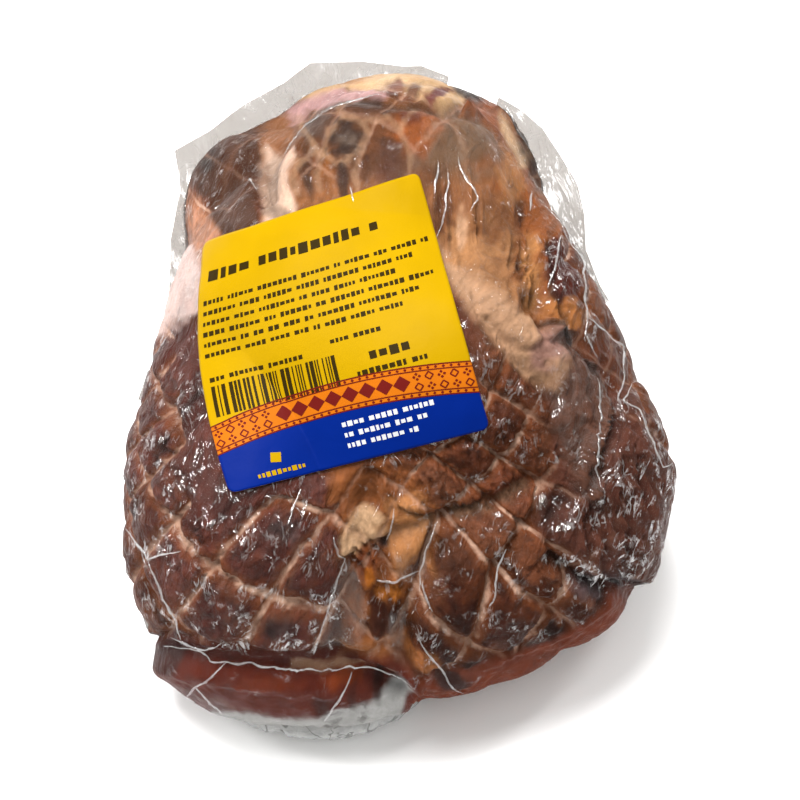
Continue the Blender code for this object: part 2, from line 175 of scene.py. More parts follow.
# What the reader sees painted on the meat, in the order it is laid on: 8-bit sRGB colours, and
# outlines on the drawing plane
Patch = namedtuple("Patch", "name colour outline soft warp rise", defaults=(0.0,))
PATCHES = (
    Patch("orange neck", (146, 88, 50), ((-28, -16), (-15, -14), (-8, -26), (-9, -37), (-18, -40),
          (-24, -30)), 3, 3),
    Patch("front lobe", (62, 30, 18), ((4, -58), (14, -51), (30, -49), (44, -53), (54, -60), (46, -68),
          (24, -75), (12, -77), (6, -70)), 4, 4),
    Patch("left lobe", (82, 42, 34), ((-78, -8), (-74, 9), (-66, 18), (-55, 25), (-44, 23), (-19, -19),
          (-15, -44), (-19, -70), (-60, -68), (-76, -44)), 3, 2.5),
    Patch("right lobe", (92, 54, 42), ((43, 0), (66, 3), (77, -22), (75, -44), (66, -56), (48, -51),
          (40, -36), (41, -19)), 2.5, 2.5, 0.8),
    Patch("flap", (100, 66, 52), ((39, 22), (45, 21), (54, 10), (59, -3), (57, -18), (52, -28), (45, -19),
          (42, -6), (42, 6), (39, 15)), 0.9, 0.6, 3),
    Patch("shoulder", (76, 47, 33), ((-60, 63), (-47, 74), (-27, 84), (-32, 75), (-38, 66), (-39, 48),
          (-51, 42), (-54, 55)), 1.2, 1.2, 1.6),
    Patch("shoulder side", (178, 122, 92), ((-60, 58), (-53, 53), (-50, 44), (-53, 27), (-59, 38)), 2, 1.5),
    Patch("pink side", (222, 190, 180), ((-63, 55), (-59, 47), (-53, 30), (-54, 26), (-63, 20), (-72, 13),
          (-70, 27)), 1.6, 1.5),
    Patch("bare skin", (140, 90, 56), ((-38, 77), (-19, 83), (5, 83), (27, 79), (41, 64), (44, 44),
          (44, 19), (36, 14), (25, 21), (12, 37), (6, 51), (5, 62), (-27, 48), (-38, 48)), 1, 0.8, 2),
    Patch("upper skin", (98, 60, 37), ((-28, 80), (-4, 84), (14, 83), (24, 76), (16, 64), (2, 60),
          (-14, 60), (-27, 64)), 2.5, 3),
    Patch("orange skin", (140, 80, 42), ((22, 80), (36, 67), (43, 47), (43, 21), (33, 21), (32, 44),
          (27, 60)), 4, 3),
    Patch("hazy skin", (122, 90, 66), ((4, 77), (22, 80), (29, 68), (21, 62), (7, 64)), 4, 3),
    Patch("pale skin", (160, 112, 74), ((11, 48), (25, 51), (33, 41), (32, 27), (22, 27), (14, 37)), 4, 2),
    Patch("brown skin", (120, 76, 46), ((20, 52), (28, 52), (31, 42), (26, 37), (22, 38)), 5, 3),
    Patch("dark red meat", (86, 40, 30), ((39, 42), (43, 44), (48, 39), (51, 30), (49, 25), (43, 26),
          (40, 32)), 1, 0.8, 0.6),
    Patch("orange bits", (176, 112, 62), ((40, 27), (48, 28), (52, 22), (46, 19), (40, 23)), 1.2, 1.2),
    Patch("cream band", (192, 148, 114), ((9, 44), (17, 37), (27, 28), (36, 22), (41, 16), (44, 9), (43, 3),
          (36, 7), (24, 19), (13, 33)), 2.4, 0.6, 0.6),
    Patch("pink edge", (218, 182, 158), ((-37, 71), (-31, 69), (-29, 60), (-28, 48), (-38, 48),
          (-39, 59)), 1.6, 1.5),
    Patch("top fat", (204, 164, 120), ((-33, 87), (-19, 98), (0, 99), (15, 94), (19, 81), (11, 80),
          (0, 85.5), (-16, 85.5), (-27, 82)), 1.2, 1.2, 1),
    Patch("top pink", (190, 146, 142), ((-31, 80), (-23, 84.5), (-12, 86), (-4, 85), (-3, 83), (-14, 82.5),
          (-24, 80), (-30, 76)), 0.8, 0.6),
    Patch("purple mark", (112, 62, 58), ((6, 84), (9, 85), (13, 86), (16, 85), (13, 82),
          (8, 81)), 0.8, 1.2),
    Patch("black rind", (50, 38, 32), ((10, 92), (20, 92), (28, 87), (30, 80), (21, 81),
          (15, 84)), 1, 0.8, 1.5),
    Patch("tip", (146, 84, 50), ((17, 81), (26, 84), (36, 86), (35, 78), (30, 70), (22, 76),
          (16, 78)), 1, 0.6, 5.5),
    Patch("cream rim", (206, 168, 130), ((27, 78), (31, 76), (36, 66), (33, 64), (31, 68)), 1.2, 1.2),
    Patch("black rim", (60, 50, 46), ((33, 74), (37, 75), (42, 64), (36, 62)), 1.6, 1.4),
    Patch("centre valley", (134, 78, 42), ((-20, -19), (0, -17), (9, -27), (11, -38), (5, -55), (1, -70),
          (-15, -70), (-18, -55), (-15, -44)), 2.5, 2.5),
    Patch("left fat", (212, 170, 130), ((-16, -44), (-16.5, -40), (-15, -35), (-11.5, -31.5), (-7.5, -31),
          (-3, -33), (-3, -38), (-7, -41), (-10, -43), (-13, -46)), 1.4, 1.2, 1.6),
    Patch("right fat", (178, 120, 74), ((-5, -27), (5, -29), (10, -36), (8, -48), (0, -52),
          (-3, -44)), 3, 3),
    Patch("valley hollow", (72, 36, 22), ((-10, -57), (0, -56), (1, -66), (-2, -70), (-10, -68)), 2.5, 2.5),
    Patch("valley strip", (176, 108, 60), ((-19, -70), (0, -68), (11, -71), (10, -75), (0, -73),
          (-16, -73)), 1.2, 1),
    Patch("skin slab", (104, 44, 30), ((-73, -70), (-64, -65), (-47, -69), (-19, -72), (0, -73), (7, -79),
          (1, -88), (-19, -92), (-44, -90), (-62, -83)), 1, 0.5, 2.6),
    # Painted reflection: the grey-purple sheen of the film where the slab's front face curves down
    Patch("slab underside", (128, 98, 96), ((-66, -75), (-55, -79), (-44, -83), (-19, -87), (0, -82),
          (1, -90), (-19, -95), (-44, -92), (-60, -85)), 2.5, 1.5),
    Patch("rind rim", (122, 54, 28), ((5, -77), (12, -75.5), (22, -74.5), (41, -67.5), (53, -59), (60, -51),
          (72, -54), (62, -74), (44, -84), (22, -92), (8, -90), (3, -82)), 0.7, 0.4, 1),
    Patch("grey tip", (78, 62, 62), ((45, -52), (51, -48), (60, -47), (65, -51), (55, -55)), 1.2, 1, 1),
    Patch("tail film", (196, 195, 192), ((-50, -83), (-27, -86), (-9, -82), (1, -78), (4, -79.5), (-1, -86),
          (-7, -93), (-18, -100), (-40, -98), (-55, -92)), 0.6, 0.5),
)

# Marks of one colour each: centre, radii and colour
Spot = namedtuple("Spot", "centre radii colour")
SPOTS = (
    Spot((-22.8, 74), (6, 5.5), (88, 68, 58)),
    Spot((-14.2, 70.1), (5.6, 5.2), (56, 44, 38)),
    Spot((-14.2, 70.1), (2.4, 2.2), (104, 86, 74)),
    Spot((-9.6, 79), (9, 3.6), (74, 52, 42)),
    Spot((-25, 61.5), (2, 6), (48, 34, 28)),
    Spot((-19.6, 61), (2.2, 6), (128, 78, 40)),
    Spot((-15.6, 60), (1.8, 5.5), (52, 36, 28)),
    Spot((-2.8, 66.4), (3.4, 3), (96, 62, 48)),
    Spot((-5.2, -42), (2, 2.2), (24, 18, 18)),
    Spot((5, 73), (8, 6), (158, 86, 42)),
    Spot((3, 76.5), (4, 2.4), (92, 44, 30)),
    Spot((16, 70), (9, 6), (116, 86, 62)),
    Spot((-3, 62), (4, 3), (96, 58, 42)),
    Spot((20, 40), (8, 4), (176, 124, 82)),
    Spot((30, 60), (4, 9), (178, 122, 76)),
    Spot((36, 34), (3, 12), (186, 128, 78)),
    Spot((32.5, 50), (2, 5), (84, 50, 32)),
    Spot((31.5, 36), (1.6, 8), (104, 60, 32)),
    Spot((12, 52), (3, 8), (96, 56, 34)),
    Spot((17, 47), (1.6, 6), (196, 152, 118)),
    Spot((38.5, 62), (3, 5), (72, 60, 54)),
    Spot((-28, 87), (6, 3), (150, 100, 64)),
    Spot((-4, 88), (6, 2.2), (218, 184, 144)),
    Spot((-1.5, 86), (3, 2), (112, 66, 62)),
    Spot((3.5, 84.5), (2.4, 2), (92, 54, 44)),
    Spot((-16, 89), (6, 2), (168, 118, 78)),
    Spot((-55, 66), (6, 4), (44, 36, 32)),
    Spot((-45, 52), (5, 6), (92, 68, 58)),
    Spot((40, 14), (4, 6), (168, 124, 112)),
    Spot((46, 18.5), (4, 1.6), (60, 42, 34)),
    Spot((-6.3, -78.9), (1.6, 3.4), (58, 30, 24)),
    Spot((-13, -79.5), (1.4, 4), (74, 34, 24)),
    Spot((-21, -82), (3, 3), (70, 38, 32)),
    Spot((-36, -76.5), (9, 1.8), (126, 54, 30)),
    Spot((-64, -71), (5, 3), (70, 48, 44)),
    Spot((-14.5, -76.5), (7, 1.6), (148, 66, 32)),
    Spot((8.5, -60.5), (5, 4), (46, 30, 28)),
    Spot((14, -77.5), (5, 2), (40, 30, 28)),
    Spot((53.5, -29), (3.2, 2.2), (44, 32, 30)),
    Spot((40, -31), (3, 2.5), (66, 40, 30)),
    Spot((-32, -36), (5, 3.5), (66, 50, 48)),
    Spot((-34, -62), (7, 3), (52, 38, 36)),
    Spot((-27, 12), (9, 6), (60, 42, 36)),
    Spot((-46, -1), (5, 6), (82, 62, 56)),
    Spot((-9, -46.5), (5, 4), (128, 66, 32)),
    Spot((-5.3, -42), (1.6, 1.8), (26, 20, 20)),
    Spot((-11, -49.5), (3, 3.5), (92, 40, 22)),
    Spot((-9, -52), (1.8, 3.2), (196, 112, 34)),
    Spot((-3, -56), (4.5, 2.6), (190, 112, 42)),
)

MEAT_BROWN = (92, 49, 31)
LEAN_LIGHT = (122, 77, 53)
SEAM_CREAM = (188, 148, 116)
PALE_FOLD = "foot of the mid lobe"
# The net's pale lines where they do not run straight
PALE_LINES = (
    ((-28.5, 78.8), (-25.8, 72.1), (-22.7, 68.2), (-20.8, 66.3)),
    ((-20.8, 66.3), (-19, 72.1), (-15.3, 75.6), (-11.5, 75.3), (-8.6, 72.6), (-10.4, 68.2), (-14.2, 64.6),
     (-18.1, 64.4), (-20.8, 66.3)),
    ((-15.3, 75.6), (-17.1, 78.8), (-15.3, 80.7)),
    ((-9, 75.1), (-3.8, 75.9), (0, 73.2), (3.8, 78.8)),
    ((-22.7, 67.4), (-26.6, 63.6), (-28.5, 57)),
    ((-10.4, 67.4), (-12.3, 61.6), (-11.5, 57)),
    ((-21.5, 65.5), (-22.3, 58)),
    ((0, 73.2), (3, 66), (2, 60)),
    ((-30, -73.4), (-16, -74.6), (-2, -76)),
)
# The surfaces' own colours are this much darker than they look under the studio lights
TONE = 0.46

# By patch: how far it is spared the painted shade of creases, how clear the net's marks are on it where
# they are not whole, how crinkled the film over it is, and how milky
UNSHADED = {
    "left fat": 1, "right fat": 1, "cream band": 0.8, "orange neck": 0.6, "centre valley": 0.4,
}
NET_MARKS = {
    "dark red meat": 0, "orange bits": 0, "bare skin": 0.22, "top fat": 0, "top pink": 0, "cream band": 0,
    "tip": 0, "cream rim": 0, "black rind": 0, "pink edge": 0, "pink side": 0.2, "shoulder": 0.12,
    "skin slab": 0, "slab underside": 0, "rind rim": 0, "centre valley": 0.3, "flap": 0.1,
    "right lobe": 0.25, "tail film": 0,
}
PLAIN_CRINKLE = 0.55
CRINKLED = {
    "right lobe": 0.78, "left lobe": 0.68, "flap": 0.5, "bare skin": 0.25, "skin slab": 0.2,
    "centre valley": 0.5, "orange skin": 0.6, "cream band": 0.25, "top fat": 0.15, "pink side": 0.3,
    "left fat": 0.2, "right fat": 0.3, "rind rim": 0.25, "dark red meat": 0.8, "tail film": 0,
    "shoulder": 0.38,
}
# The slab underside's milkiness is painted reflection, as its colour is
MILKY = {
    "left lobe": 0.015, "hazy skin": 0.03, "pink side": 0.14, "slab underside": 0.08, "flap": 0.03,
}

# The film
FILM_GAP = 0.35
FILM_ROUNDS = 26
FILM_SINK = 2.2
FILM_BRIDGE = 2.5
FILM_OVER_MEAT = 0.2
FILM_LEAST_GAP = 0.08
FILM_OVER_FLOOR = 0.05
STREAK_LENGTH = 3.6
STREAK_WIDTH = 0.042
# Film that bridges from one piece to the next and reads as a pale veil
WEBS = (
    (((-16, -45), (-12.5, -50), (-9.5, -60), (-11, -70), (-23, -70)), 0.08),
    (((-3, -62), (2, -62), (0.5, -71), (-4, -69)), 0.1),
    (((1, -52), (8, -51), (8, -44), (-2, -45)), 0.04),
)
# Ridges in the film: their milky white is partly film doubled on itself and partly a painted highlight
CREASES = (
    ((46, 61.9), (49, 51.8), (50.4, 38.1), (52.3, 18.1), (55.3, 11.8)),
    ((51.8, 23), (61.1, 15.1), (61.6, 5.5), (59.2, -0.5)),
    ((53.2, 5.5), (52.6, -7.4), (53.4, -15.6), (54.2, -24.7)),
    ((64.7, 5.5), (61.6, -0.3), (66, -2.7), (71.2, -18.4), (74.2, -17)),
    ((30.1, -41.9), (27.4, -49.6), (26.8, -53.4), (24.4, -56.7)),
    ((4.4, -66.3), (9, -70.1), (13.4, -77.8), (18.6, -80.5)),
    ((6.3, -53.4), (9, -58.6)),
    ((11, -35.6), (7.7, -43.3), (5.8, -50.4), (5.8, -55.3)),
    ((-63.6, -66), (-54, -69.9), (-48.8, -66.6)),
    ((-66, -68.5), (-60, -69.3), (-55.3, -69.9), (-52.1, -72.1), (-47.7, -72.1), (-29.9, -73.7), (-16, -75),
     (-4, -76.5), (4, -77.5)),
    ((-47.7, -72.1), (-54.8, -77), (-58.4, -80.5)),
    ((-54.8, -77), (-50.1, -81.9), (-46.3, -84.4)),
    ((-13.7, -76.2), (-14.5, -78.1), (-20.3, -85.8)),
    ((-75.1, -35.3), (-69.9, -44.1), (-60.3, -41.6)),
    ((-69.9, -44.1), (-66.6, -50.7), (-62.2, -62.7), (-61.1, -66.6)),
    ((-27.1, -24.4), (-29.9, -30.1), (-30.4, -33.4)),
    ((-1.6, -30.1), (-2.2, -35.3), (-3.6, -40.5)),
    ((-18.4, -37.8), (-17.3, -43), (-15.6, -44.9)),
    ((-15.6, -44.9), (-24.1, -71)),
    ((-6.8, -51.8), (-1.1, -52.3), (5.5, -49.9)),
    ((-57.5, 61.9), (-54.8, 56.7), (-49.6, 52.1)),
    ((15.6, 65.8), (17.5, 60), (20.5, 53), (18.9, 50)),
    ((13.4, 62), (12, 50), (9.6, 44)),
    ((10.5, 64), (9.2, 56)),
    ((35.5, 57), (35, 51)),
    ((43, 44), (41.5, 36), (39.5, 30)),
    ((-38, 80), (-33, 76), (-27, 81.5), (-15, 83), (-5, 84)),
    ((-44.5, 64), (-42, 62), (-39.5, 58)),
    ((-13.5, 58), (-12.5, 53)),
)
CREASE_SPACING = 0.8
CREASE_HALF_WIDTH = 0.3
CREASE_HEIGHT = 0.55

# How far the flat film stands out round the rim: from the right lobe over the top to the left lobe,
# and at the lower left
FILM_OUTLINE = (
    (75, -33), (74.2, -21.9), (70.4, -8.2), (65.4, 5.5), (59.6, 19), (57.4, 27), (54.8, 31.5), (51, 41),
    (50.6, 51), (48.8, 59.5), (43.6, 67.9), (39.2, 74.5), (33.4, 79.5), (27, 83), (19.2, 83.5),
    (13.4, 88.8), (6, 91.6), (0.8, 91.6), (-10.1, 93), (-24.7, 92.6), (-32, 87.1), (-43, 81.2), (-52, 74),
    (-62, 68.6), (-60.8, 62), (-60.3, 57.5), (-62.9, 43.8), (-63.4, 30.1), (-65.4, 16.4), (-69.2, 8.2),
    (-71.8, 0), (-60, -16), (-60, -38), (-73.6, -43.8), (-73, -52), (-69.5, -63), (-58, -66), (-30, -50),
    (30, -50), (60, -40),
)
RIM_SWEEP = np.radians(np.arange(-60.0, 61.0, 1.0))
RIM_SMOOTHING = 7
EDGE_SECTIONS = 46
EDGE_STEPS = 3
EDGE_ROOT = 6.0
EDGE_CRUMPLE = 0.55
EDGE_CRINKLE = 0.45

# The film's folded end
TAIL_CELLS = 110
TAIL_ANGLE = math.radians(40)
TAIL_AIM = np.array([-21.0, -78.0, -37.0])
TAIL_UP = np.array([0.0, 0.3, 1.0])
TAIL_MARGIN = 0.6
TAIL_SINK = 0.7
TAIL_CRUMPLE = 0.5
TAIL_OVER_FLOOR = 0.2

# The label
LABEL_TOP_LEFT = np.array([-53.4, 43.0])
LABEL_TOP_RIGHT = np.array([4.9, 62.2])
LABEL_BOTTOM_LEFT = np.array([-46.6, -25.8])
LABEL_BOTTOM_RIGHT = np.array([24.4, -7.7])
LABEL_LEFT_BOW = -4.5
LABEL_GAP = 0.62
LABEL_THICKNESS = 0.12
LABEL_CELLS = 110
LABEL_CORNER = 0.03
# The smooth ground under the label: how far it goes past the sides and the ends, and its edge
LABEL_GROUND = np.array([11.0, 4.0])
LABEL_MARGIN = 3.0
LABEL_SIZE = np.array([67.0, 71.0])
LABEL_YELLOW = (209, 165, 0)
LABEL_ORANGE = (226, 122, 20)
LABEL_MAROON = (120, 30, 25)
LABEL_BLUE = (2, 40, 140)
LABEL_BLACK = (58, 44, 10)
LABEL_WHITE = (244, 244, 246)
# Rows of cells in the yellow field, the orange band and the blue foot
STRIP_ROWS = (78, 14, 18)
BAND_TOP = 52.3
BAND_ARCH = -3.6
BAND_WIDTH_LEFT = 8.2
BAND_WIDTH_RIGHT = 8.8
BAR_MODULE = 0.33

# The studio: each lamp's place, size and power
LAMPS = {
    "key": ((-0.22, 0.3, 1.1), (0.7, 0.6), 28.0),
    "side": ((0.75, 0.5, 0.9), (0.08, 0.5), 3.5),
    "left": ((-0.9, 0.1, 0.7), (0.1, 0.5), 5.0),
}
LAMP_TARGET = (0.0, 0.0, 0.04)
FLOOR_HALF = 3.0
FLOOR_WHITE = (0.97, 0.97, 0.97, 1.0)
SKY_WHITE = (1.0, 0.99, 0.97, 1.0)
SKY_STRENGTH = 0.82


def unit(vectors):
    return vectors / np.linalg.norm(vectors, axis=-1, keepdims=True)


def smooth_step(values, low, high):
    t = np.clip((values - low) / (high - low), 0.0, 1.0)
    return t * t * (3.0 - 2.0 * t)


def waves(points, wavelength, seed, count=9):
    """Smooth seeded noise between about -1 and 1: a sum of plane waves."""
    rng = np.random.default_rng(seed)
    directions = unit(rng.normal(size=(count, points.shape[-1])))
    lengths = wavelength * rng.uniform(0.7, 1.5, count)
    phases = rng.uniform(0, 2 * math.pi, count)
    total = np.sin(points @ (directions * 2 * math.pi / lengths[:, None]).T + phases)
    return total.sum(axis=-1) / math.sqrt(2 * count)


def crumple(points, wavelength, seed, octaves=3):
    """Noise with sharp ridges: one minus the size of warped waves, over several scales."""
    total = np.zeros(points.shape[:-1])
    weight = 1.0
    for i in range(octaves):
        size = wavelength / 1.9 ** i
        first = seed + 10 * i
        warp = [waves(points, size * 2.2, first + k) for k in range(points.shape[-1])]
        warped = points + np.stack(warp, axis=-1) * size * 0.35
        total += weight * (1.0 - 2.2 * np.abs(waves(warped, size, first + 7)))
        weight *= 0.55
    return total


def turned(places, degrees):
    angle = math.radians(degrees)
    return np.stack([
        places[:, 0] * math.cos(angle) + places[:, 1] * math.sin(angle),
        places[:, 1] * math.cos(angle) - places[:, 0] * math.sin(angle),
    ], axis=-1)


def distance_to_line(places, corners):
    nearest = np.full(len(places), np.inf)
    for start, end in zip(corners[:-1], corners[1:]):
        start, end = np.array(start, float), np.array(end, float)
        along = end - start
        t = np.clip((places - start) @ along / (along @ along), 0.0, 1.0)
        gap = np.linalg.norm(places - start - t[:, None] * along, axis=-1)
        nearest = np.minimum(nearest, gap)
    return nearest


def inside_outline(places, outline):
    """Even-odd test of many places against a closed outline."""
    inside = np.zeros(len(places), bool)
    corners = list(outline)
    for (x0, y0), (x1, y1) in zip(corners, corners[1:] + corners[:1]):
        if y0 == y1:
            continue
        crosses = (y0 > places[:, 1]) != (y1 > places[:, 1])
        inside ^= crosses & (places[:, 0] < (x1 - x0) * (places[:, 1] - y0) / (y1 - y0) + x0)
    return inside


def depth_inside(places, outline):
    """How far each place is inside a closed outline, and below 0 outside it."""
    away = distance_to_line(places, list(outline) + [outline[0]])
    return np.where(inside_outline(places, outline), away, -away)


def mixed(under, over, share):
    return under * (1 - share[:, None]) + over * share[:, None]


def linear(colour):
    """An 8-bit sRGB colour, as it looks under the studio lights, as a surface's own colour."""
    c = np.array(colour, float) / 255
    return TONE * np.where(c <= 0.04045, c / 12.92, ((c + 0.055) / 1.055) ** 2.4)


# The form


def on_drawing_plane(points):
    offset = points - HEART
    nearness = VIEW_DISTANCE / (VIEW_DISTANCE - offset @ VIEW_BACK)
    return np.stack([offset @ VIEW_RIGHT * nearness, offset @ VIEW_UP * nearness], axis=-1)


def lobe_reach(lobe, directions):
    """How far a lobe's far side is from HEART in each direction."""
    yaw = math.radians(lobe.yaw)
    turn = np.array([
        [math.cos(yaw), math.sin(yaw), 0.0],
        [-math.sin(yaw), math.cos(yaw), 0.0],
        [0.0, 0.0, 1.0],
    ])
    to_sphere = turn / np.array(lobe.radii, float)[:, None]
    start = to_sphere @ (HEART - np.array(lobe.centre, float))
    step = directions @ to_sphere.T
    a = (step * step).sum(axis=-1)
    b = step @ start
    c = start @ start - 1.0
    inside = b * b - a * c
    return (-b + np.sign(inside) * np.sqrt(np.abs(inside))) / a


def floor_reach(directions, clearance=0.0):
    down = np.minimum(directions[:, 2], -1e-6)
    return np.where(directions[:, 2] < -1e-6, (clearance - HEART[2]) / down, np.inf)


def lobed_reach(directions, lobes=ALL_LOBES):
    reaches = np.stack([lobe_reach(lobe, directions) for lobe in lobes], axis=-1)
    farthest = reaches.max(axis=-1, keepdims=True)
    blended = np.exp((reaches - farthest) / LOBE_BLEND).sum(axis=-1)
    return farthest[:, 0] + LOBE_BLEND * np.log(blended)


def label_place(across, down):
    """The drawing-plane place of the label's point (across, down), both 0 to 1."""
    across, down = np.asarray(across, float)[..., None], np.asarray(down, float)[..., None]
    top = LABEL_TOP_LEFT * (1 - across) + LABEL_TOP_RIGHT * across
    bottom = LABEL_BOTTOM_LEFT * (1 - across) + LABEL_BOTTOM_RIGHT * across
    bow = LABEL_LEFT_BOW * np.sin(math.pi * down) * (1 - across)
    return top * (1 - down) + bottom * down + bow * np.array([1.0, 0.0])


def label_cover(places):
    """1 under the label and 0 clear of it, on the drawing plane."""
    side = LABEL_BOTTOM_LEFT - LABEL_TOP_LEFT
    head = LABEL_TOP_RIGHT - LABEL_TOP_LEFT
    inside = (places - LABEL_TOP_LEFT) @ np.linalg.inv(np.stack([head, side], axis=-1)).T
    size = np.array([np.linalg.norm(head), np.linalg.norm(side)])
    beyond = np.abs(inside - 0.5) * size - size / 2 - LABEL_GROUND
    return 1.0 - smooth_step(beyond.max(axis=-1), 0.0, LABEL_MARGIN)


def seen_points(places):
    """The points of the lobed form that the reader sees at these drawing-plane places."""
    eye = HEART + VIEW_BACK * VIEW_DISTANCE
    on_plane = HEART + places[:, :1] * VIEW_RIGHT + places[:, 1:] * VIEW_UP
    rays = unit(on_plane - eye)
    near = np.full(len(places), VIEW_DISTANCE - SEARCH_DEPTH)
    far = np.full(len(places), VIEW_DISTANCE)
    for _ in range(SEARCH_ROUNDS):
        middle = (near + far) / 2
        outward = eye + rays * middle[:, None] - HEART
        distance = np.linalg.norm(outward, axis=-1)
        outside = distance > lobed_reach(outward / distance[:, None])
        near = np.where(outside, middle, near)
        far = np.where(outside, far, middle)
    return eye + rays * near[:, None]


def arc_places(directions):
    """Directions laid out flat round the reader's own, as on a sphere unrolled from there."""
    turn = np.arccos(np.clip(directions @ VIEW_BACK, -1.0, 1.0))
    flat = np.stack([directions @ VIEW_RIGHT, directions @ VIEW_UP], axis=-1)
    length = np.maximum(np.linalg.norm(flat, axis=-1), 1e-9)
    return flat * (NET_ARC_RADIUS * turn / length)[:, None]


def net_counts(points, directions):
    """How many cord lines of each family lie between the marked crossing and each point."""
    crossing = seen_points(np.array([NET_CROSSING]))
    places = arc_places(directions) - arc_places(unit(crossing - HEART))
    wander = NET_WANDER * waves(points, 45.0, 11)
    return [places @ np.array([-math.sin(s), math.cos(s)]) / NET_PITCH + wander for s in NET_SLOPES]


def net_strength(places, faces_reader):
    smooth = np.zeros(len(places))
    for centre, radii in SMOOTH_PATCHES:
        away = np.linalg.norm((places - np.array(centre)) / np.array(radii), axis=-1)
        smooth = np.maximum(smooth, 1.0 - smooth_step(away, 0.8, 1.2))
    return 1.0 - SMOOTHING * smooth * faces_reader


def drawn_relief(places):
    relief = np.zeros(len(places))
    for line in FOLDS.values():
        away = distance_to_line(places, line.points) / line.half_width
        relief += line.height * np.exp(-away * away)
    hollow = (places - np.array(HOLLOW_CENTRE)) / np.array(HOLLOW_RADII)
    return relief - HOLLOW_DEPTH * np.exp(-(hollow * hollow).sum(axis=-1))


def patch_cover(places, patch, seed):
    """1 inside a patch and 0 outside it, with an uneven edge."""
    warped = places
    for size, share, first in ((9.0, 1.0, seed), (3.5, 0.35, seed + 2)):
        drift = [waves(places, size, first), waves(places, size, first + 1)]
        warped = warped + share * patch.warp * np.stack(drift, axis=-1)
    return smooth_step(depth_inside(warped, patch.outline), -patch.soft, patch.soft)


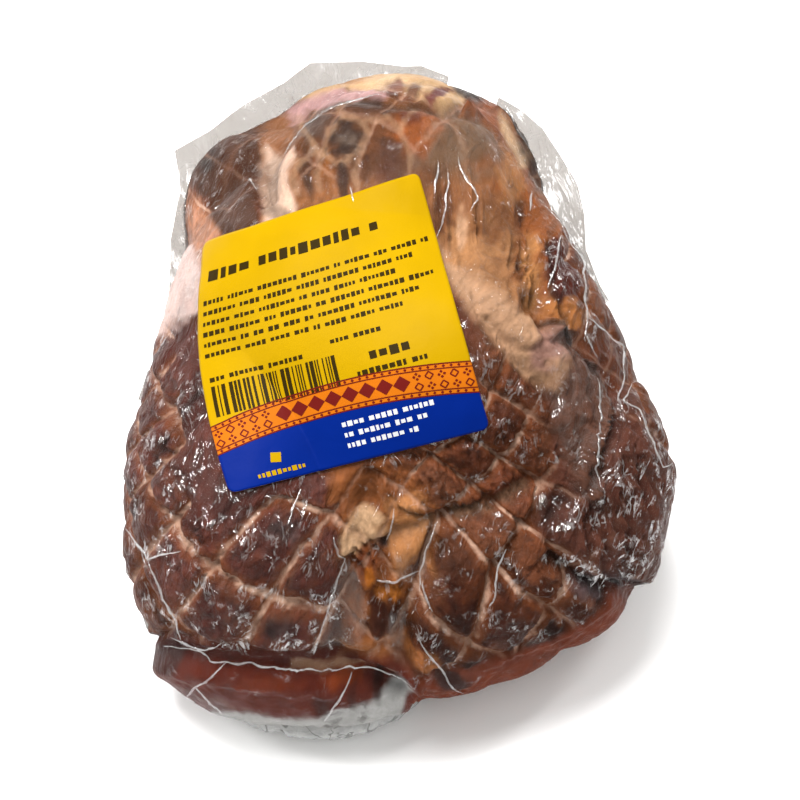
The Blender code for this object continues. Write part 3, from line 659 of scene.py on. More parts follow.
class Form:
    """The meat's surface in a set of directions, with what its looks are worked out from."""

    def __init__(self, directions):
        self.directions = directions
        self.skin = HEART + directions * lobed_reach(directions)[:, None]
        self.places = on_drawing_plane(self.skin)
        facing = directions @ VIEW_BACK
        self.faces_reader = smooth_step(facing, -0.15, 0.10)
        self.seen = smooth_step(facing, -0.5, -0.2)
        self.under_label = label_cover(self.places) * self.faces_reader
        self.counts = net_counts(self.skin, directions)
        self.net = net_strength(self.places, self.faces_reader)
        self.covers = [patch_cover(self.places, patch, 100 + 4 * i) for i, patch in enumerate(PATCHES)]
        # How near each point is to a dark line, for its groove and for the painted shade along it
        self.creases = np.zeros(len(directions))
        for line in DARK_LINES:
            away = distance_to_line(self.places, line) + 0.3 * waves(self.places, 5.0, 81)
            self.creases = np.maximum(self.creases, np.exp(-(away / DARK_LINE_WIDTH) ** 2))
        self.crinkle = np.full(len(directions), PLAIN_CRINKLE)
        self.netted = np.ones(len(directions))
        for cover, patch in zip(self.covers, PATCHES):
            share = cover * self.seen
            self.netted *= 1.0 - (1.0 - NET_MARKS.get(patch.name, 1.0)) * share
            if patch.name in CRINKLED:
                self.crinkle = self.crinkle * (1 - share) + CRINKLED[patch.name] * share

    def relief(self):
        """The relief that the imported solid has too."""
        pillows = np.full(len(self.skin), 0.4)
        for count in self.counts:
            pillows -= np.exp(-NET_SHARPNESS * np.abs(np.sin(math.pi * count)))
        swell = SURFACE_SWELL * waves(self.skin, 30.0, 3)
        drawn = drawn_relief(self.places) * self.faces_reader
        pillows = pillows * self.net * (0.3 + 0.7 * self.netted)
        return (swell + NET_DEPTH * pillows + drawn) * (1.0 - self.under_label)

    def fine_relief(self):
        """Cord grooves, lumps and wrinkles, which only this surface has."""
        relief = np.zeros(len(self.skin))
        for count in self.counts:
            off_line = np.abs(count - np.round(count)) * NET_PITCH
            broken = 0.65 + 0.5 * waves(self.skin, 22.0, 5)
            cord = np.exp(-(off_line / NET_CORD_WIDTH) ** 2)
            relief -= NET_CORD_DEPTH * np.clip(broken, 0, 1) * cord * self.net * self.netted
        bulge = np.abs(np.sin(math.pi * self.counts[0]) * np.sin(math.pi * self.counts[1])) ** 0.6
        relief += 0.9 * (bulge - 0.5) * self.net * self.netted
        relief += 0.5 * waves(self.skin, 12.0, 21) + 0.25 * crumple(self.skin, 8.0, 31)
        relief += self.wrinkles() - DARK_LINE_DEPTH * self.creases * self.faces_reader - 0.8
        facing = smooth_step(self.directions @ VIEW_BACK, 0.0, 0.35)
        return relief * (0.15 + 0.85 * facing) + self.steps()

    def wrinkles(self):
        """The tight wrinkles of the right lobe and the stretch folds of the bare skin."""
        total = np.zeros(len(self.skin))
        for centre, radii, turn, squeeze, wavelength, height, seed in WRINKLED:
            away = turned(self.places - np.array(centre), turn)
            inside = 1.0 - smooth_step(np.linalg.norm(away / np.array(radii), axis=-1), 0.6, 1.1)
            total += height * crumple(away * np.array([1.0, squeeze]), wavelength, seed, 2) * inside
        return total * smooth_step(self.directions @ VIEW_BACK, 0.05, 0.5)

    def steps(self):
        """Where one piece of the surface laps over the next, each with a groove along its edge."""
        total = np.zeros(len(self.places))
        for cover, patch in zip(self.covers, PATCHES):
            total += patch.rise * (cover - 1.6 * cover * (1 - cover)) * self.faces_reader
        return total

    def meat_reach(self):
        """How far the meat goes in each direction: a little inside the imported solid."""
        reach = lobed_reach(self.directions, CLEAR_OF_TAIL) + self.relief() - FILM_GAP
        reach += self.fine_relief() * (1 - self.under_label)
        return np.minimum(reach, floor_reach(self.directions, FLOOR_CLEARANCE))

    def tint(self):
        """The meat's colour at every point, with painted shade in its folds, wrinkles and dark lines."""
        places, seen = self.places, self.seen
        lean = smooth_step(waves(self.skin, 26.0, 61), -0.6, 0.9) * 0.5
        tint = mixed(np.tile(linear(MEAT_BROWN), (len(places), 1)), linear(LEAN_LIGHT), lean)
        for cover, patch in zip(self.covers, PATCHES):
            tint = mixed(tint, linear(patch.colour), cover * seen)
        for i, spot in enumerate(SPOTS):
            away = np.linalg.norm((places - np.array(spot.centre)) / np.array(spot.radii), axis=-1)
            away = away + 0.25 * waves(places, 4.0, 300 + i)
            tint = mixed(tint, linear(spot.colour), 0.85 * (1 - smooth_step(away, 0.5, 1.25)) * seen)
        # Each of the net's cells has its own depth of brown, by a fixed jumble of its two counts
        cell = 7.0 * np.floor(self.counts[0]) + 3.0 * np.floor(self.counts[1])
        shade = 1.0 + 0.22 * np.sin(12.9898 * cell) * self.net * self.netted
        # Painted shade and light: darker down in the wrinkles and lighter on their crests
        shade *= 1.0 + 0.24 * np.clip(self.wrinkles(), -1.6, 0.8) * self.faces_reader
        # Painted shade: darker down in the drawn folds and the hollow, and along the dark lines where one
        # piece folds under the next
        crevice_shade = smooth_step(-drawn_relief(places), 1.0, 3.6) * self.faces_reader
        for cover, patch in zip(self.covers, PATCHES):
            crevice_shade = crevice_shade * (1 - UNSHADED.get(patch.name, 0.0) * cover)
        shade *= (1.0 - 0.5 * crevice_shade) * (1.0 - 0.65 * self.creases * self.faces_reader)
        tint = tint * shade[:, None]
        away = distance_to_line(places, FOLDS[PALE_FOLD].points) + 0.8 * waves(places, 6.0, 71)
        tint = mixed(tint, linear(SEAM_CREAM), 0.25 * (1 - smooth_step(away, 0.6, 2.6)) * seen)
        for line in PALE_LINES:
            away = distance_to_line(places, line) + 0.4 * waves(places, 5.0, 72)
            tint = mixed(tint, linear(SEAM_CREAM), 0.42 * (1 - smooth_step(away, 0.2, 1.3)) * seen)
        return np.clip(tint, 0.0, 1.0)


# Meshes


def grid_faces(rows, columns, start=0):
    """Four-sided faces over a grid of points in rows, the first of them point number start."""
    first = np.arange(rows * (columns + 1)).reshape(rows, columns + 1)[:, :-1].ravel() + start
    return np.stack([first, first + columns + 1, first + columns + 2, first + 1], axis=-1)


def cap(cells, angle, middle=1.0):
    """Directions within an angle of the reader (or of their back, middle -1), finest in the middle."""
    steps = np.linspace(-1, 1, cells + 1)
    y, x = np.meshgrid(steps, steps, indexing="ij")
    across = x * np.sqrt(1 - y * y / 2)
    up = y * np.sqrt(1 - x * x / 2)
    r = np.hypot(across, up)
    turn = angle * (0.7 * r + 0.3 * r ** 3)
    share = np.sin(turn) / np.maximum(r, 1e-9)
    directions = (across * share)[..., None] * VIEW_RIGHT * middle + (up * share)[..., None] * VIEW_UP
    directions = directions + (np.cos(turn) * middle)[..., None] * VIEW_BACK
    return unit(directions.reshape(-1, 3)), grid_faces(cells, cells)[:, ::-1]


def mesh_object(name, points, faces, smooth=True):
    """A new object from points in the form's millimetres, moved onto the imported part."""
    mesh = bpy.data.meshes.new(name)
    moved = (np.asarray(points, float) + SHIFT) * MM
    faces = np.asarray(faces)
    mesh.vertices.add(len(moved))
    mesh.vertices.foreach_set("co", moved.astype(np.float32).ravel())
    mesh.loops.add(faces.size)
    mesh.loops.foreach_set("vertex_index", faces.astype(np.int32).ravel())
    mesh.polygons.add(len(faces))
    mesh.polygons.foreach_set("loop_start", np.arange(0, faces.size, faces.shape[1], dtype=np.int32))
    mesh.update(calc_edges=True)
    mesh.validate()
    if smooth:
        mesh.shade_smooth()
    made = bpy.data.objects.new(name, mesh)
    bpy.context.scene.collection.objects.link(made)
    return made


def set_number(made, name, values):
    numbers = made.data.attributes.new(name, "FLOAT", "POINT")
    numbers.data.foreach_set("value", np.asarray(values, np.float32))


def set_colour(made, name, colours):
    full = np.concatenate([colours, np.ones((len(colours), 1))], axis=1)
    painted = made.data.attributes.new(name, "FLOAT_COLOR", "POINT")
    painted.data.foreach_set("color", full.astype(np.float32).ravel())


# Materials


class Shader:
    """A material being built up from nodes."""

    def __init__(self, name):
        self.material = bpy.data.materials.new(name)
        self.material.use_nodes = True
        self.nodes = self.material.node_tree.nodes
        self.links = self.material.node_tree.links
        self.principled = self.nodes["Principled BSDF"]
        self.output = self.nodes["Material Output"]
        self.place = self.add("ShaderNodeTexCoord").outputs["Object"]

    def add(self, kind, **settings):
        node = self.nodes.new(kind)
        for key, value in settings.items():
            setattr(node, key, value)
        return node

    def put(self, socket, value):
        """Links a node's output to a socket, or sets the socket to a plain value."""
        if isinstance(value, bpy.types.NodeSocket):
            self.links.new(value, socket)
        elif value is not None:
            socket.default_value = value

    def set(self, **values):
        """Sets sockets of the Principled shader, by their names with _ for each space."""
        for key, value in values.items():
            self.put(self.principled.inputs[key.replace("_", " ")], value)

    def maths(self, operation, *values):
        node = self.add("ShaderNodeMath", operation=operation)
        for socket, value in zip(node.inputs, values):
            self.put(socket, value)
        return node.outputs[0]

    def times(self, first, *others):
        for value in others:
            first = self.maths("MULTIPLY", first, value)
        return first

    def plus(self, first, *others):
        for value in others:
            first = self.maths("ADD", first, value)
        return first

    def gap(self, a, b):
        """How far a is from b, either way."""
        return self.maths("ABSOLUTE", self.maths("SUBTRACT", a, b))

    def attribute(self, name, kind="Fac"):
        return self.add("ShaderNodeAttribute", attribute_name=name).outputs[kind]

    def noise(self, size_mm, detail=3.0, roughness=0.55, distortion=0.0, stretch=None):
        """Noise with bumps of about this size; stretch is its lengths along three axes and their turn."""
        node = self.add("ShaderNodeTexNoise")
        place = self.place
        if stretch:
            lengths, degrees = stretch
            mapping = self.add("ShaderNodeMapping", vector_type="TEXTURE")
            self.put(mapping.inputs["Vector"], self.place)
            mapping.inputs["Scale"].default_value = lengths
            mapping.inputs["Rotation"].default_value = (0.0, 0.0, math.radians(degrees))
            place = mapping.outputs[0]
        self.put(node.inputs["Vector"], place)
        node.inputs["Scale"].default_value = 1000.0 / size_mm
        node.inputs["Detail"].default_value = detail
        node.inputs["Roughness"].default_value = roughness
        node.inputs["Distortion"].default_value = distortion
        return node.outputs["Fac"]

    def range(self, value, low, high, out_low=0.0, out_high=1.0):
        """The value, taken from the span low to high onto the span out_low to out_high, and held there."""
        node = self.add("ShaderNodeMapRange")
        for socket, item in zip(node.inputs, (value, low, high, out_low, out_high)):
            self.put(socket, item)
        return node.outputs[0]

    def scaled(self, colour, factor):
        node = self.add("ShaderNodeVectorMath", operation="SCALE")
        self.put(node.inputs[0], colour)
        self.put(node.inputs["Scale"], factor)
        return node.outputs[0]

    def mix(self, share, under, over):
        node = self.add("ShaderNodeMix", data_type="RGBA")
        sockets = {s.identifier: s for s in node.inputs}
        self.put(sockets["Factor_Float"], share)
        for key, value in (("A_Color", under), ("B_Color", over)):
            if not isinstance(value, bpy.types.NodeSocket):
                value = (*linear(value), 1.0)
            self.put(sockets[key], value)
        return next(s for s in node.outputs if s.identifier == "Result_Color")

    def mix_shaders(self, share, under, over):
        node = self.add("ShaderNodeMixShader")
        for socket, value in zip(node.inputs, (share, under, over)):
            self.put(socket, value)
        return node.outputs[0]

    def bump(self, height, distance_mm, under=None):
        node = self.add("ShaderNodeBump")
        node.inputs["Strength"].default_value = 1.0
        node.inputs["Distance"].default_value = distance_mm * MM
        self.put(node.inputs["Height"], height)
        self.put(node.inputs["Normal"], under)
        return node.outputs[0]


def meat_material():
    s = Shader("smoked meat")
    strength = s.attribute("net")
    crinkle = s.attribute("crinkle")
    # Bare skin and fat are smoother than the netted meat
    rough = s.maths("MULTIPLY_ADD", strength, 0.65, 0.35)
    mottle = s.range(s.noise(5.0, 5.0, 0.62, 0.4), 0.3, 0.7, -0.38, 0.42)
    grain = s.range(s.noise(1.1, 3.0, 0.7, 0.3, stretch=((1.0, 2.2, 1.5), -30)), 0.3, 0.7, -0.3, 0.3)
    # Painted shade: darker in the valleys of the fold noise that also bumps the surface, lighter on its
    # crests
    folds = s.noise(3.4, 2.0, 0.5, 0.9, stretch=((1.0, 3.0, 2.0), -18))
    shade = s.range(folds, 0.36, 0.58, -0.34, 0.12)
    tones = [s.maths("MULTIPLY_ADD", change, share, 1.0)
             for change, share in ((mottle, rough), (grain, rough), (shade, crinkle))]
    colour = s.scaled(s.attribute("tint", "Color"), s.times(*tones))
    # Where the net's cords lay the smoke did not reach, so thin pale lines are left
    wobble = s.range(s.noise(6.0, 3.0), 0.0, 1.0, -0.09, 0.09)
    broken = s.range(s.noise(7.0, 3.0, 0.6), 0.34, 0.56, 0.15, 1.0)
    for family in ("net_a", "net_b"):
        count = s.plus(s.attribute(family), wobble)
        off_line = s.gap(count, s.maths("ROUND", count))
        halo = s.times(s.range(off_line, 0.02, 0.16, 0.6, 0.0), strength)
        core = s.times(s.range(off_line, 0.016, 0.058, 0.95, 0.0), broken, strength)
        colour = s.mix(core, s.mix(halo, colour, (148, 84, 48)), (222, 180, 154))
    smoky = s.range(s.noise(8.0, 4.0, 0.62, 0.5), 0.5, 0.68, 0.0, 0.32)
    colour = s.mix(s.times(smoky, strength), colour, (128, 68, 36))
    char = s.range(s.noise(11.0, 5.0, 0.68, 0.6), 0.60, 0.70)
    colour = s.mix(s.times(char, 0.55), colour, (44, 30, 26))
    lumps = s.times(s.noise(3.2, 4.0, 0.6, 0.8), rough)
    coarse = s.bump(lumps, 0.9, under=s.bump(s.times(folds, crinkle), 2.6))
    s.set(Base_Color=colour, Roughness=s.range(s.noise(3.0), 0.3, 0.7, 0.4, 0.62), Specular_IOR_Level=0.04,
          Normal=s.bump(s.noise(0.7, 2.0), 0.1, under=coarse))
    return s.material


def film_streaks(s, size_mm):
    """How much of a wrinkle there is in the film: thin lines that run mostly up the pack, in patches."""
    total = 0.0
    crinkle = s.attribute("crinkle")
    for turn, low in ((-22, 0.53), (16, 0.56)):
        lines = s.noise(size_mm, 3.0, 0.6, 0.7, stretch=((1.0, STREAK_LENGTH, 2.0), turn))
        patchy = s.noise(size_mm * (2.6 + turn / 50), 3.0, 0.6)
        patchy = s.maths("MULTIPLY_ADD", s.maths("SUBTRACT", crinkle, 0.6), 0.14, patchy)
        line = s.range(s.gap(lines, 0.5), 0.0, STREAK_WIDTH, 1.0, 0.0)
        total = s.maths("MAXIMUM", total, s.times(line, s.range(patchy, low, low + 0.12)))
    return s.times(total, s.maths("MINIMUM", crinkle, 1.0)), lines


def film_material(name, milk, wrinkle_mm, depth_mm, shine=0.6, base_shine=0.003, streak_milk_and_glint=0.06,
                  milk_colour=(235, 228, 222), clearness=(255, 255, 255)):
    """Clear film: see-through, with reflections from its wrinkles, and with some milkiness, low and high."""
    s = Shader(name)
    streaks, lines = film_streaks(s, wrinkle_mm)
    normal = s.bump(lines, depth_mm)
    s.set(Base_Color=(*linear(milk_colour), 1.0), Roughness=0.35, Normal=normal)
    clear = s.add("ShaderNodeBsdfTransparent")
    clear.inputs["Color"].default_value = (*(linear(clearness) / TONE), 1.0)
    haze = s.range(s.noise(3.0, 4.0, 0.65, 1.0, stretch=((1.0, 2.5, 2.0), -35)), 0.42, 0.72, 0.2, 2.4)
    clouds = s.range(s.noise(9.0, 4.0, 0.6, 0.8), 0.38, 0.66, *milk)
    # Milk along the wrinkle streaks: partly the film whitening at its wrinkles, partly a painted glint
    cloudy = s.plus(clouds, s.times(s.attribute("milk"), haze), s.attribute("web"),
                    s.times(streaks, streak_milk_and_glint))
    milky = s.mix_shaders(cloudy, clear.outputs[0], s.principled.outputs[0])
    gloss = s.add("ShaderNodeBsdfGlossy")
    gloss.inputs["Roughness"].default_value = 0.1
    s.put(gloss.inputs["Normal"], normal)
    shining = s.plus(s.times(streaks, shine), base_shine)
    s.put(s.output.inputs["Surface"], s.mix_shaders(shining, milky, gloss.outputs[0]))
    return s.material


def tail_material():
    s = Shader("film tail")
    # Painted shade: thin dark lines for the shaded folds of the crumpled film
    dark = s.range(s.gap(s.noise(9.0, 2.0, 0.5, 1.4), 0.5), 0.0, 0.035, 0.75, 0.0)
    colour = s.mix(s.range(s.noise(5.0, 3.0), 0.35, 0.65), (206, 208, 206), (242, 242, 240))
    s.set(Base_Color=s.mix(dark, colour, (86, 84, 80)), Roughness=0.25,
          Normal=s.bump(s.noise(3.0, 3.0, 0.6, 1.0), 0.8))
    return s.material


def print_material(name, colour):
    s = Shader(name)
    shade = s.range(s.noise(16.0, 2.0), 0.3, 0.7, 0.94, 1.04)
    s.set(Base_Color=s.scaled(linear(colour), shade), Roughness=0.42, Specular_IOR_Level=0.02,
          Normal=s.bump(s.noise(5.0, 3.0), 0.15))
    return s.material


# The meat and the film


def make_meat(name, cells, angle, middle, drop, material):
    directions, faces = cap(cells, angle, middle)
    form = Form(directions)
    meat = mesh_object(name, HEART + directions * (form.meat_reach() - drop)[:, None], faces)
    set_colour(meat, "tint", form.tint())
    set_number(meat, "net_a", form.counts[0])
    set_number(meat, "net_b", form.counts[1])
    set_number(meat, "net", form.net * form.netted * (1 - form.under_label))
    set_number(meat, "crinkle", form.crinkle)
    meat.data.materials.append(material)
    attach(meat, "root")
    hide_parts("bag")


def smoothed_out(reach, faces, rounds):
    """Lets the film bridge hollows: each point goes out to its neighbours' mean."""
    a = faces.ravel()
    b = np.roll(faces, -1, axis=1).ravel()
    ends = np.concatenate([a, b])
    others = np.concatenate([b, a])
    count = np.bincount(ends, minlength=len(reach))
    film = reach.copy()
    for _ in range(rounds):
        film = np.maximum(reach, np.bincount(ends, weights=film[others], minlength=len(reach)) / count)
    return film


class Surface:
    """A star-shaped surface about HEART that can be asked for its point in any direction."""

    def __init__(self, directions, reach):
        self.reach = reach
        self.tree = kdtree.KDTree(len(directions))
        for i, direction in enumerate(directions):
            self.tree.insert(direction, i)
        self.tree.balance()

    def point(self, direction):
        near = self.tree.find_n(direction, 4)
        weights = np.array([1.0 / (gap + 1e-4) for _, _, gap in near])
        reach = sum(w * self.reach[i] for w, (_, i, _) in zip(weights, near)) / weights.sum()
        return HEART + direction * reach


def make_film(name, cells, angle, middle, drop, material):
    directions, faces = cap(cells, angle, middle)
    form = Form(directions)
    meat = form.meat_reach()
    packed = lobed_reach(directions) + form.relief()
    base = np.maximum(meat + FILM_OVER_MEAT, packed - FILM_SINK * (1 - form.under_label))
    reach = smoothed_out(base, faces, FILM_ROUNDS)
    reach = np.minimum(reach, packed + FILM_BRIDGE - FILM_SINK * form.under_label)
    reach = np.minimum(reach, floor_reach(directions, FILM_OVER_FLOOR))
    reach = np.maximum(reach, meat + FILM_LEAST_GAP) - drop * 0.3
    milk = np.zeros(len(directions))
    for cover, patch in zip(form.covers, PATCHES):
        milk = np.maximum(milk, MILKY.get(patch.name, 0.0) * cover * form.faces_reader)
    web = np.zeros(len(directions))
    for outline, amount in WEBS:
        inside = smooth_step(depth_inside(form.places, outline), -0.5, 0.5)
        web = np.maximum(web, amount * inside * form.faces_reader)
    film = mesh_object(name, HEART + directions * reach[:, None], faces)
    set_number(film, "milk", milk)
    set_number(film, "web", web)
    set_number(film, "crinkle", form.crinkle)
    film.data.materials.append(material)
    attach(film, "root")
    return Surface(directions, reach)


def make_tail():
    """The crumpled pale end of the film, folded under the skin slab."""
    directions, faces = cap(TAIL_CELLS, TAIL_ANGLE)
    toward, upright = unit(TAIL_AIM), unit(TAIL_UP)
    side = unit(np.cross(upright, toward))
    local = np.stack([directions @ VIEW_RIGHT, directions @ VIEW_UP, directions @ VIEW_BACK], axis=-1)
    directions = local @ np.stack([side, np.cross(toward, side), toward])
    tail = lobe_reach(FILM_LOBES[1], directions)
    reach = np.maximum(tail, lobed_reach(directions) - TAIL_MARGIN) - TAIL_SINK
    reach = reach + TAIL_CRUMPLE * crumple(HEART + directions * reach[:, None], 9.0, 701, 2) - 0.3
    reach = np.minimum(reach, floor_reach(directions, TAIL_OVER_FLOOR))
    kept = (tail > lobed_reach(directions, CLEAR_OF_TAIL) + TAIL_MARGIN)[faces].any(axis=1)
    piece = mesh_object("film_tail", HEART + directions * reach[:, None], faces[kept])
    piece.data.materials.append(tail_material())
    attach(piece, "root")


def rim_points(angles):
    """Where the form's edge shows at each angle round the drawing plane, smoothed along the rim."""
    rim = []
    for angle in angles:
        outward = math.cos(angle) * VIEW_RIGHT + math.sin(angle) * VIEW_UP
        directions = np.cos(RIM_SWEEP)[:, None] * outward + np.sin(RIM_SWEEP)[:, None] * VIEW_BACK
        points = HEART + directions * np.minimum(lobed_reach(directions), floor_reach(directions))[:, None]
        rim.append(points[np.argmax((points - HEART) @ outward)])
    rim = np.array(rim)
    steps = range(-RIM_SMOOTHING, RIM_SMOOTHING + 1)
    depth = sum(np.roll((rim - HEART) @ VIEW_BACK, step) for step in steps) / len(steps)
    flat = rim - ((rim - HEART) @ VIEW_BACK)[:, None] * VIEW_BACK
    return flat + depth[:, None] * VIEW_BACK


def outline_reach(angles, corners):
    """How far a closed outline about the origin is in each direction, its corners sorted by angle."""
    ways = np.stack([np.cos(angles), np.sin(angles)], axis=-1)
    reach = np.zeros(len(angles))
    for start, end in zip(corners, np.roll(corners, -1, axis=0)):
        side = end - start
        across = ways[:, 0] * side[1] - ways[:, 1] * side[0]
        across = np.where(np.abs(across) < 1e-9, 1e-9, across)
        distance = (start[0] * side[1] - start[1] * side[0]) / across
        along = (start[0] * ways[:, 1] - start[1] * ways[:, 0]) / across
        hit = (distance > 0) & (along > -1e-6) & (along < 1 + 1e-6)
        reach = np.where(hit, np.maximum(reach, distance), reach)
    return reach


def make_film_edge():
    """The crumpled flat film that stands out round the rim."""
    rng = np.random.default_rng(91)
    corners = np.array(FILM_OUTLINE)
    turns = np.degrees(np.arctan2(corners[:, 1], corners[:, 0]))
    angles = np.radians(np.sort(np.concatenate([turns, rng.uniform(-180, 180, EDGE_SECTIONS)])))
    outward = np.cos(angles)[:, None] * VIEW_RIGHT + np.sin(angles)[:, None] * VIEW_UP
    rim = rim_points(angles)
    film_reach = outline_reach(angles, corners[np.argsort(turns)])
    width = film_reach - np.linalg.norm(on_drawing_plane(rim), axis=-1)
    inner = rim - outward * EDGE_ROOT
    outer = rim + outward * width[:, None]
    shares = np.broadcast_to(np.linspace(0, 1, EDGE_STEPS + 1), (len(angles), EDGE_STEPS + 1)).copy()
    shares[:, 1:-1] += rng.uniform(-0.4, 0.4, (len(angles), EDGE_STEPS - 1)) / EDGE_STEPS
    sheet = inner[:, None] + (outer - inner)[:, None] * shares[..., None]
    sheet += rng.normal(0, EDGE_CRUMPLE, shares.shape)[..., None] * VIEW_BACK * (0.3 + shares)[..., None]
    sheet[..., 2] = np.maximum(sheet[..., 2], 0.6)
    stands_out = width > 0.15
    faces = []
    row = EDGE_STEPS + 1
    for i in range(len(angles)):
        j = (i + 1) % len(angles)
        if not (stands_out[i] and stands_out[j]):
            continue
        for a in range(EDGE_STEPS):
            near, far = (i * row + a, j * row + a), (i * row + a + 1, j * row + a + 1)
            if rng.random() < 0.5:
                faces += [(near[0], far[0], far[1]), (near[0], far[1], near[1])]
            else:
                faces += [(near[0], far[0], near[1]), (far[0], far[1], near[1])]
    edge = mesh_object("film_edge", sheet.reshape(-1, 3), faces, smooth=False)
    set_number(edge, "crinkle", np.full(shares.size, EDGE_CRINKLE))
    # Painted shade: greyed see-through colour and grey milk, for the grey that the crumpled film refracts
    edge.data.materials.append(film_material("film edge", (0.12, 0.3), 6.0, 2.5, shine=0.5, base_shine=0.03,
                                             streak_milk_and_glint=0.15, milk_colour=(214, 209, 205),
                                             clearness=(130, 126, 122)))
    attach(edge, "root")


def resampled(corners, spacing):
    """A line on the drawing plane cut into even steps."""
    corners = np.array(corners, float)
    lengths = np.concatenate([[0], np.cumsum(np.linalg.norm(np.diff(corners, axis=0), axis=-1))])
    steps = np.linspace(0, lengths[-1], max(int(lengths[-1] / spacing), 3) + 1)
    return np.stack([np.interp(steps, lengths, corners[:, k]) for k in range(2)], axis=-1)


def crease_mesh(film, seed):
    """Thin ridges in the film along CREASES."""
    rng = np.random.default_rng(seed)
    points, faces = [], []
    for corners in CREASES:
        places = resampled(corners, CREASE_SPACING)
        drift = [waves(places, 5.0, seed + 1), waves(places, 5.0, seed + 2)]
        places = places + 0.25 * np.stack(drift, axis=-1)
        on_form = seen_points(places)
        count = len(places)
        start = len(points)
        along = np.gradient(on_form, axis=0)
        taper = np.sin(np.linspace(0.12, math.pi - 0.12, count)) ** 0.5 * rng.uniform(0.55, 1.3, count)
        for i in range(count):
            direction = unit(on_form[i] - HEART)
            foot = film.point(direction)
            side = unit(np.cross(along[i], direction)) * CREASE_HALF_WIDTH * taper[i]
            lift = direction * 0.02
            points += [foot - side + lift, foot + direction * CREASE_HEIGHT * taper[i], foot + side + lift]
        for i in range(count - 1):
            a, b = start + 3 * i, start + 3 * i + 3
            faces += [(a, a + 1, b + 1, b), (a + 1, a + 2, b + 2, b + 1)]
    return points, faces


def make_creases(film):
    creases = mesh_object("film_creases", *crease_mesh(film, 401), smooth=False)
    # The ridges' milky white is partly film doubled on itself and partly a painted highlight
    creases.data.materials.append(film_material("film creases", (0.1, 0.5), 1.5, 0.5, base_shine=0.15,
                                                streak_milk_and_glint=0.3, milk_colour=(250, 248, 246)))
    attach(creases, "root")


# The label


class LabelSheet:
    """The label's middle surface and its normals on an even grid."""

    def __init__(self):
        steps = np.linspace(0, 1, LABEL_CELLS + 1)
        down, across = np.meshgrid(steps, steps, indexing="ij")
        places = label_place(across, down)
        surface = seen_points(places.reshape(-1, 2)).reshape(places.shape[:2] + (3,))
        normals = unit(np.cross(np.gradient(surface, axis=0), np.gradient(surface, axis=1)))
        normals *= np.sign(((surface - HEART) * normals).sum(axis=-1, keepdims=True))
        size = np.stack([across, down], axis=-1) * LABEL_SIZE
        near_edge = smooth_step(np.abs(across - 0.5) * 2, 0.5, 1.0)
        slant = size @ np.array([[0.9, 0.3], [-0.25, 0.7]])
        wrinkle = 0.16 * waves(size, 20.0, 501) + 0.09 * waves(slant, 7.0, 503) * (0.2 + near_edge)
        self.surface = surface + normals * (LABEL_GAP + wrinkle)[..., None]
        self.normals = normals

    def points(self, places, lift):
        """Points over the label at (across, down) places, both 0 to 1."""
        scaled = np.clip(np.asarray(places, float), 0, 1) * LABEL_CELLS
        low = np.minimum(scaled.astype(int), LABEL_CELLS - 1)
        part = scaled - low
        total = 0
        for dx in (0, 1):
            for dy in (0, 1):
                weight = np.abs(1 - dx - part[..., 0]) * np.abs(1 - dy - part[..., 1])
                i, j = low[..., 1] + dy, low[..., 0] + dx
                total = total + weight[..., None] * (self.surface[i, j] + self.normals[i, j] * lift)
        return total


def rounded(across, down):
    """Pulls the corners of the unit square in, so that the label's corners are round."""
    x, y = 2 * across - 1, 2 * down - 1
    over_x = np.maximum(np.abs(x) - (1 - 2 * LABEL_CORNER), 0) / (2 * LABEL_CORNER)
    over_y = np.maximum(np.abs(y) - (1 - 2 * LABEL_CORNER), 0) / (2 * LABEL_CORNER)
    reach = np.maximum(np.hypot(over_x, over_y), 1e-9)
    pull = np.where(reach > 1, np.maximum(over_x, over_y) / reach, 1.0)
    x = np.where(over_x > 0, np.sign(x) * (1 - 2 * LABEL_CORNER * (1 - over_x * pull)), x)
    y = np.where(over_y > 0, np.sign(y) * (1 - 2 * LABEL_CORNER * (1 - over_y * pull)), y)
    return (x + 1) / 2, (y + 1) / 2


def band_edge(x, low):
    """The band's border at x across the label: its upper one where low is 0, its lower one where 1."""
    t = x / LABEL_SIZE[0]
    top = BAND_TOP + BAND_ARCH * (1 - (2 * t - 1) ** 2)
    return top + (BAND_WIDTH_LEFT + (BAND_WIDTH_RIGHT - BAND_WIDTH_LEFT) * t) * low


def make_label():
    sheet = LabelSheet()
    side = LABEL_CELLS + 1
    row, column = np.meshgrid(np.arange(side), np.linspace(0, 1, side), indexing="ij")
    borders = [0 * column]
    borders += [band_edge(column * LABEL_SIZE[0], low) / LABEL_SIZE[1] for low in (0.0, 1.0)]
    borders += [0 * column + 1]
    down = np.zeros(row.shape)
    start = 0
    for rows, above, below in zip(STRIP_ROWS, borders, borders[1:]):
        part = (row >= start) & (row <= start + rows)
        down = np.where(part, above + (below - above) * (row - start) / rows, down)
        start += rows
    places = np.stack(rounded(column, down), axis=-1)
    over = sheet.points(places, 0.0).reshape(-1, 3)
    under = sheet.points(places, -LABEL_THICKNESS).reshape(-1, 3)
    top = grid_faces(LABEL_CELLS, LABEL_CELLS)
    number = np.arange(side * side).reshape(side, side)
    rim = np.concatenate([number[0, :-1], number[:-1, -1], number[-1, :0:-1], number[:0:-1, 0]])
    rim = np.stack([rim, np.roll(rim, -1), np.roll(rim, -1) + len(over), rim + len(over)], axis=-1)
    faces = np.concatenate([top, top[:, ::-1] + len(over), rim])
    label = mesh_object("label_sheet", np.concatenate([over, under]), faces)
    fields = np.zeros(len(faces), np.int32)
    fields[:len(top)] = np.repeat([0, 1, 2], np.array(STRIP_ROWS) * LABEL_CELLS)
    for name, colour in (("yellow", LABEL_YELLOW), ("orange", LABEL_ORANGE), ("blue", LABEL_BLUE)):
        label.data.materials.append(print_material("label " + name, colour))
    label.data.polygons.foreach_set("material_index", fields)
    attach(label, "root")
    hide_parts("label")
    return sheet


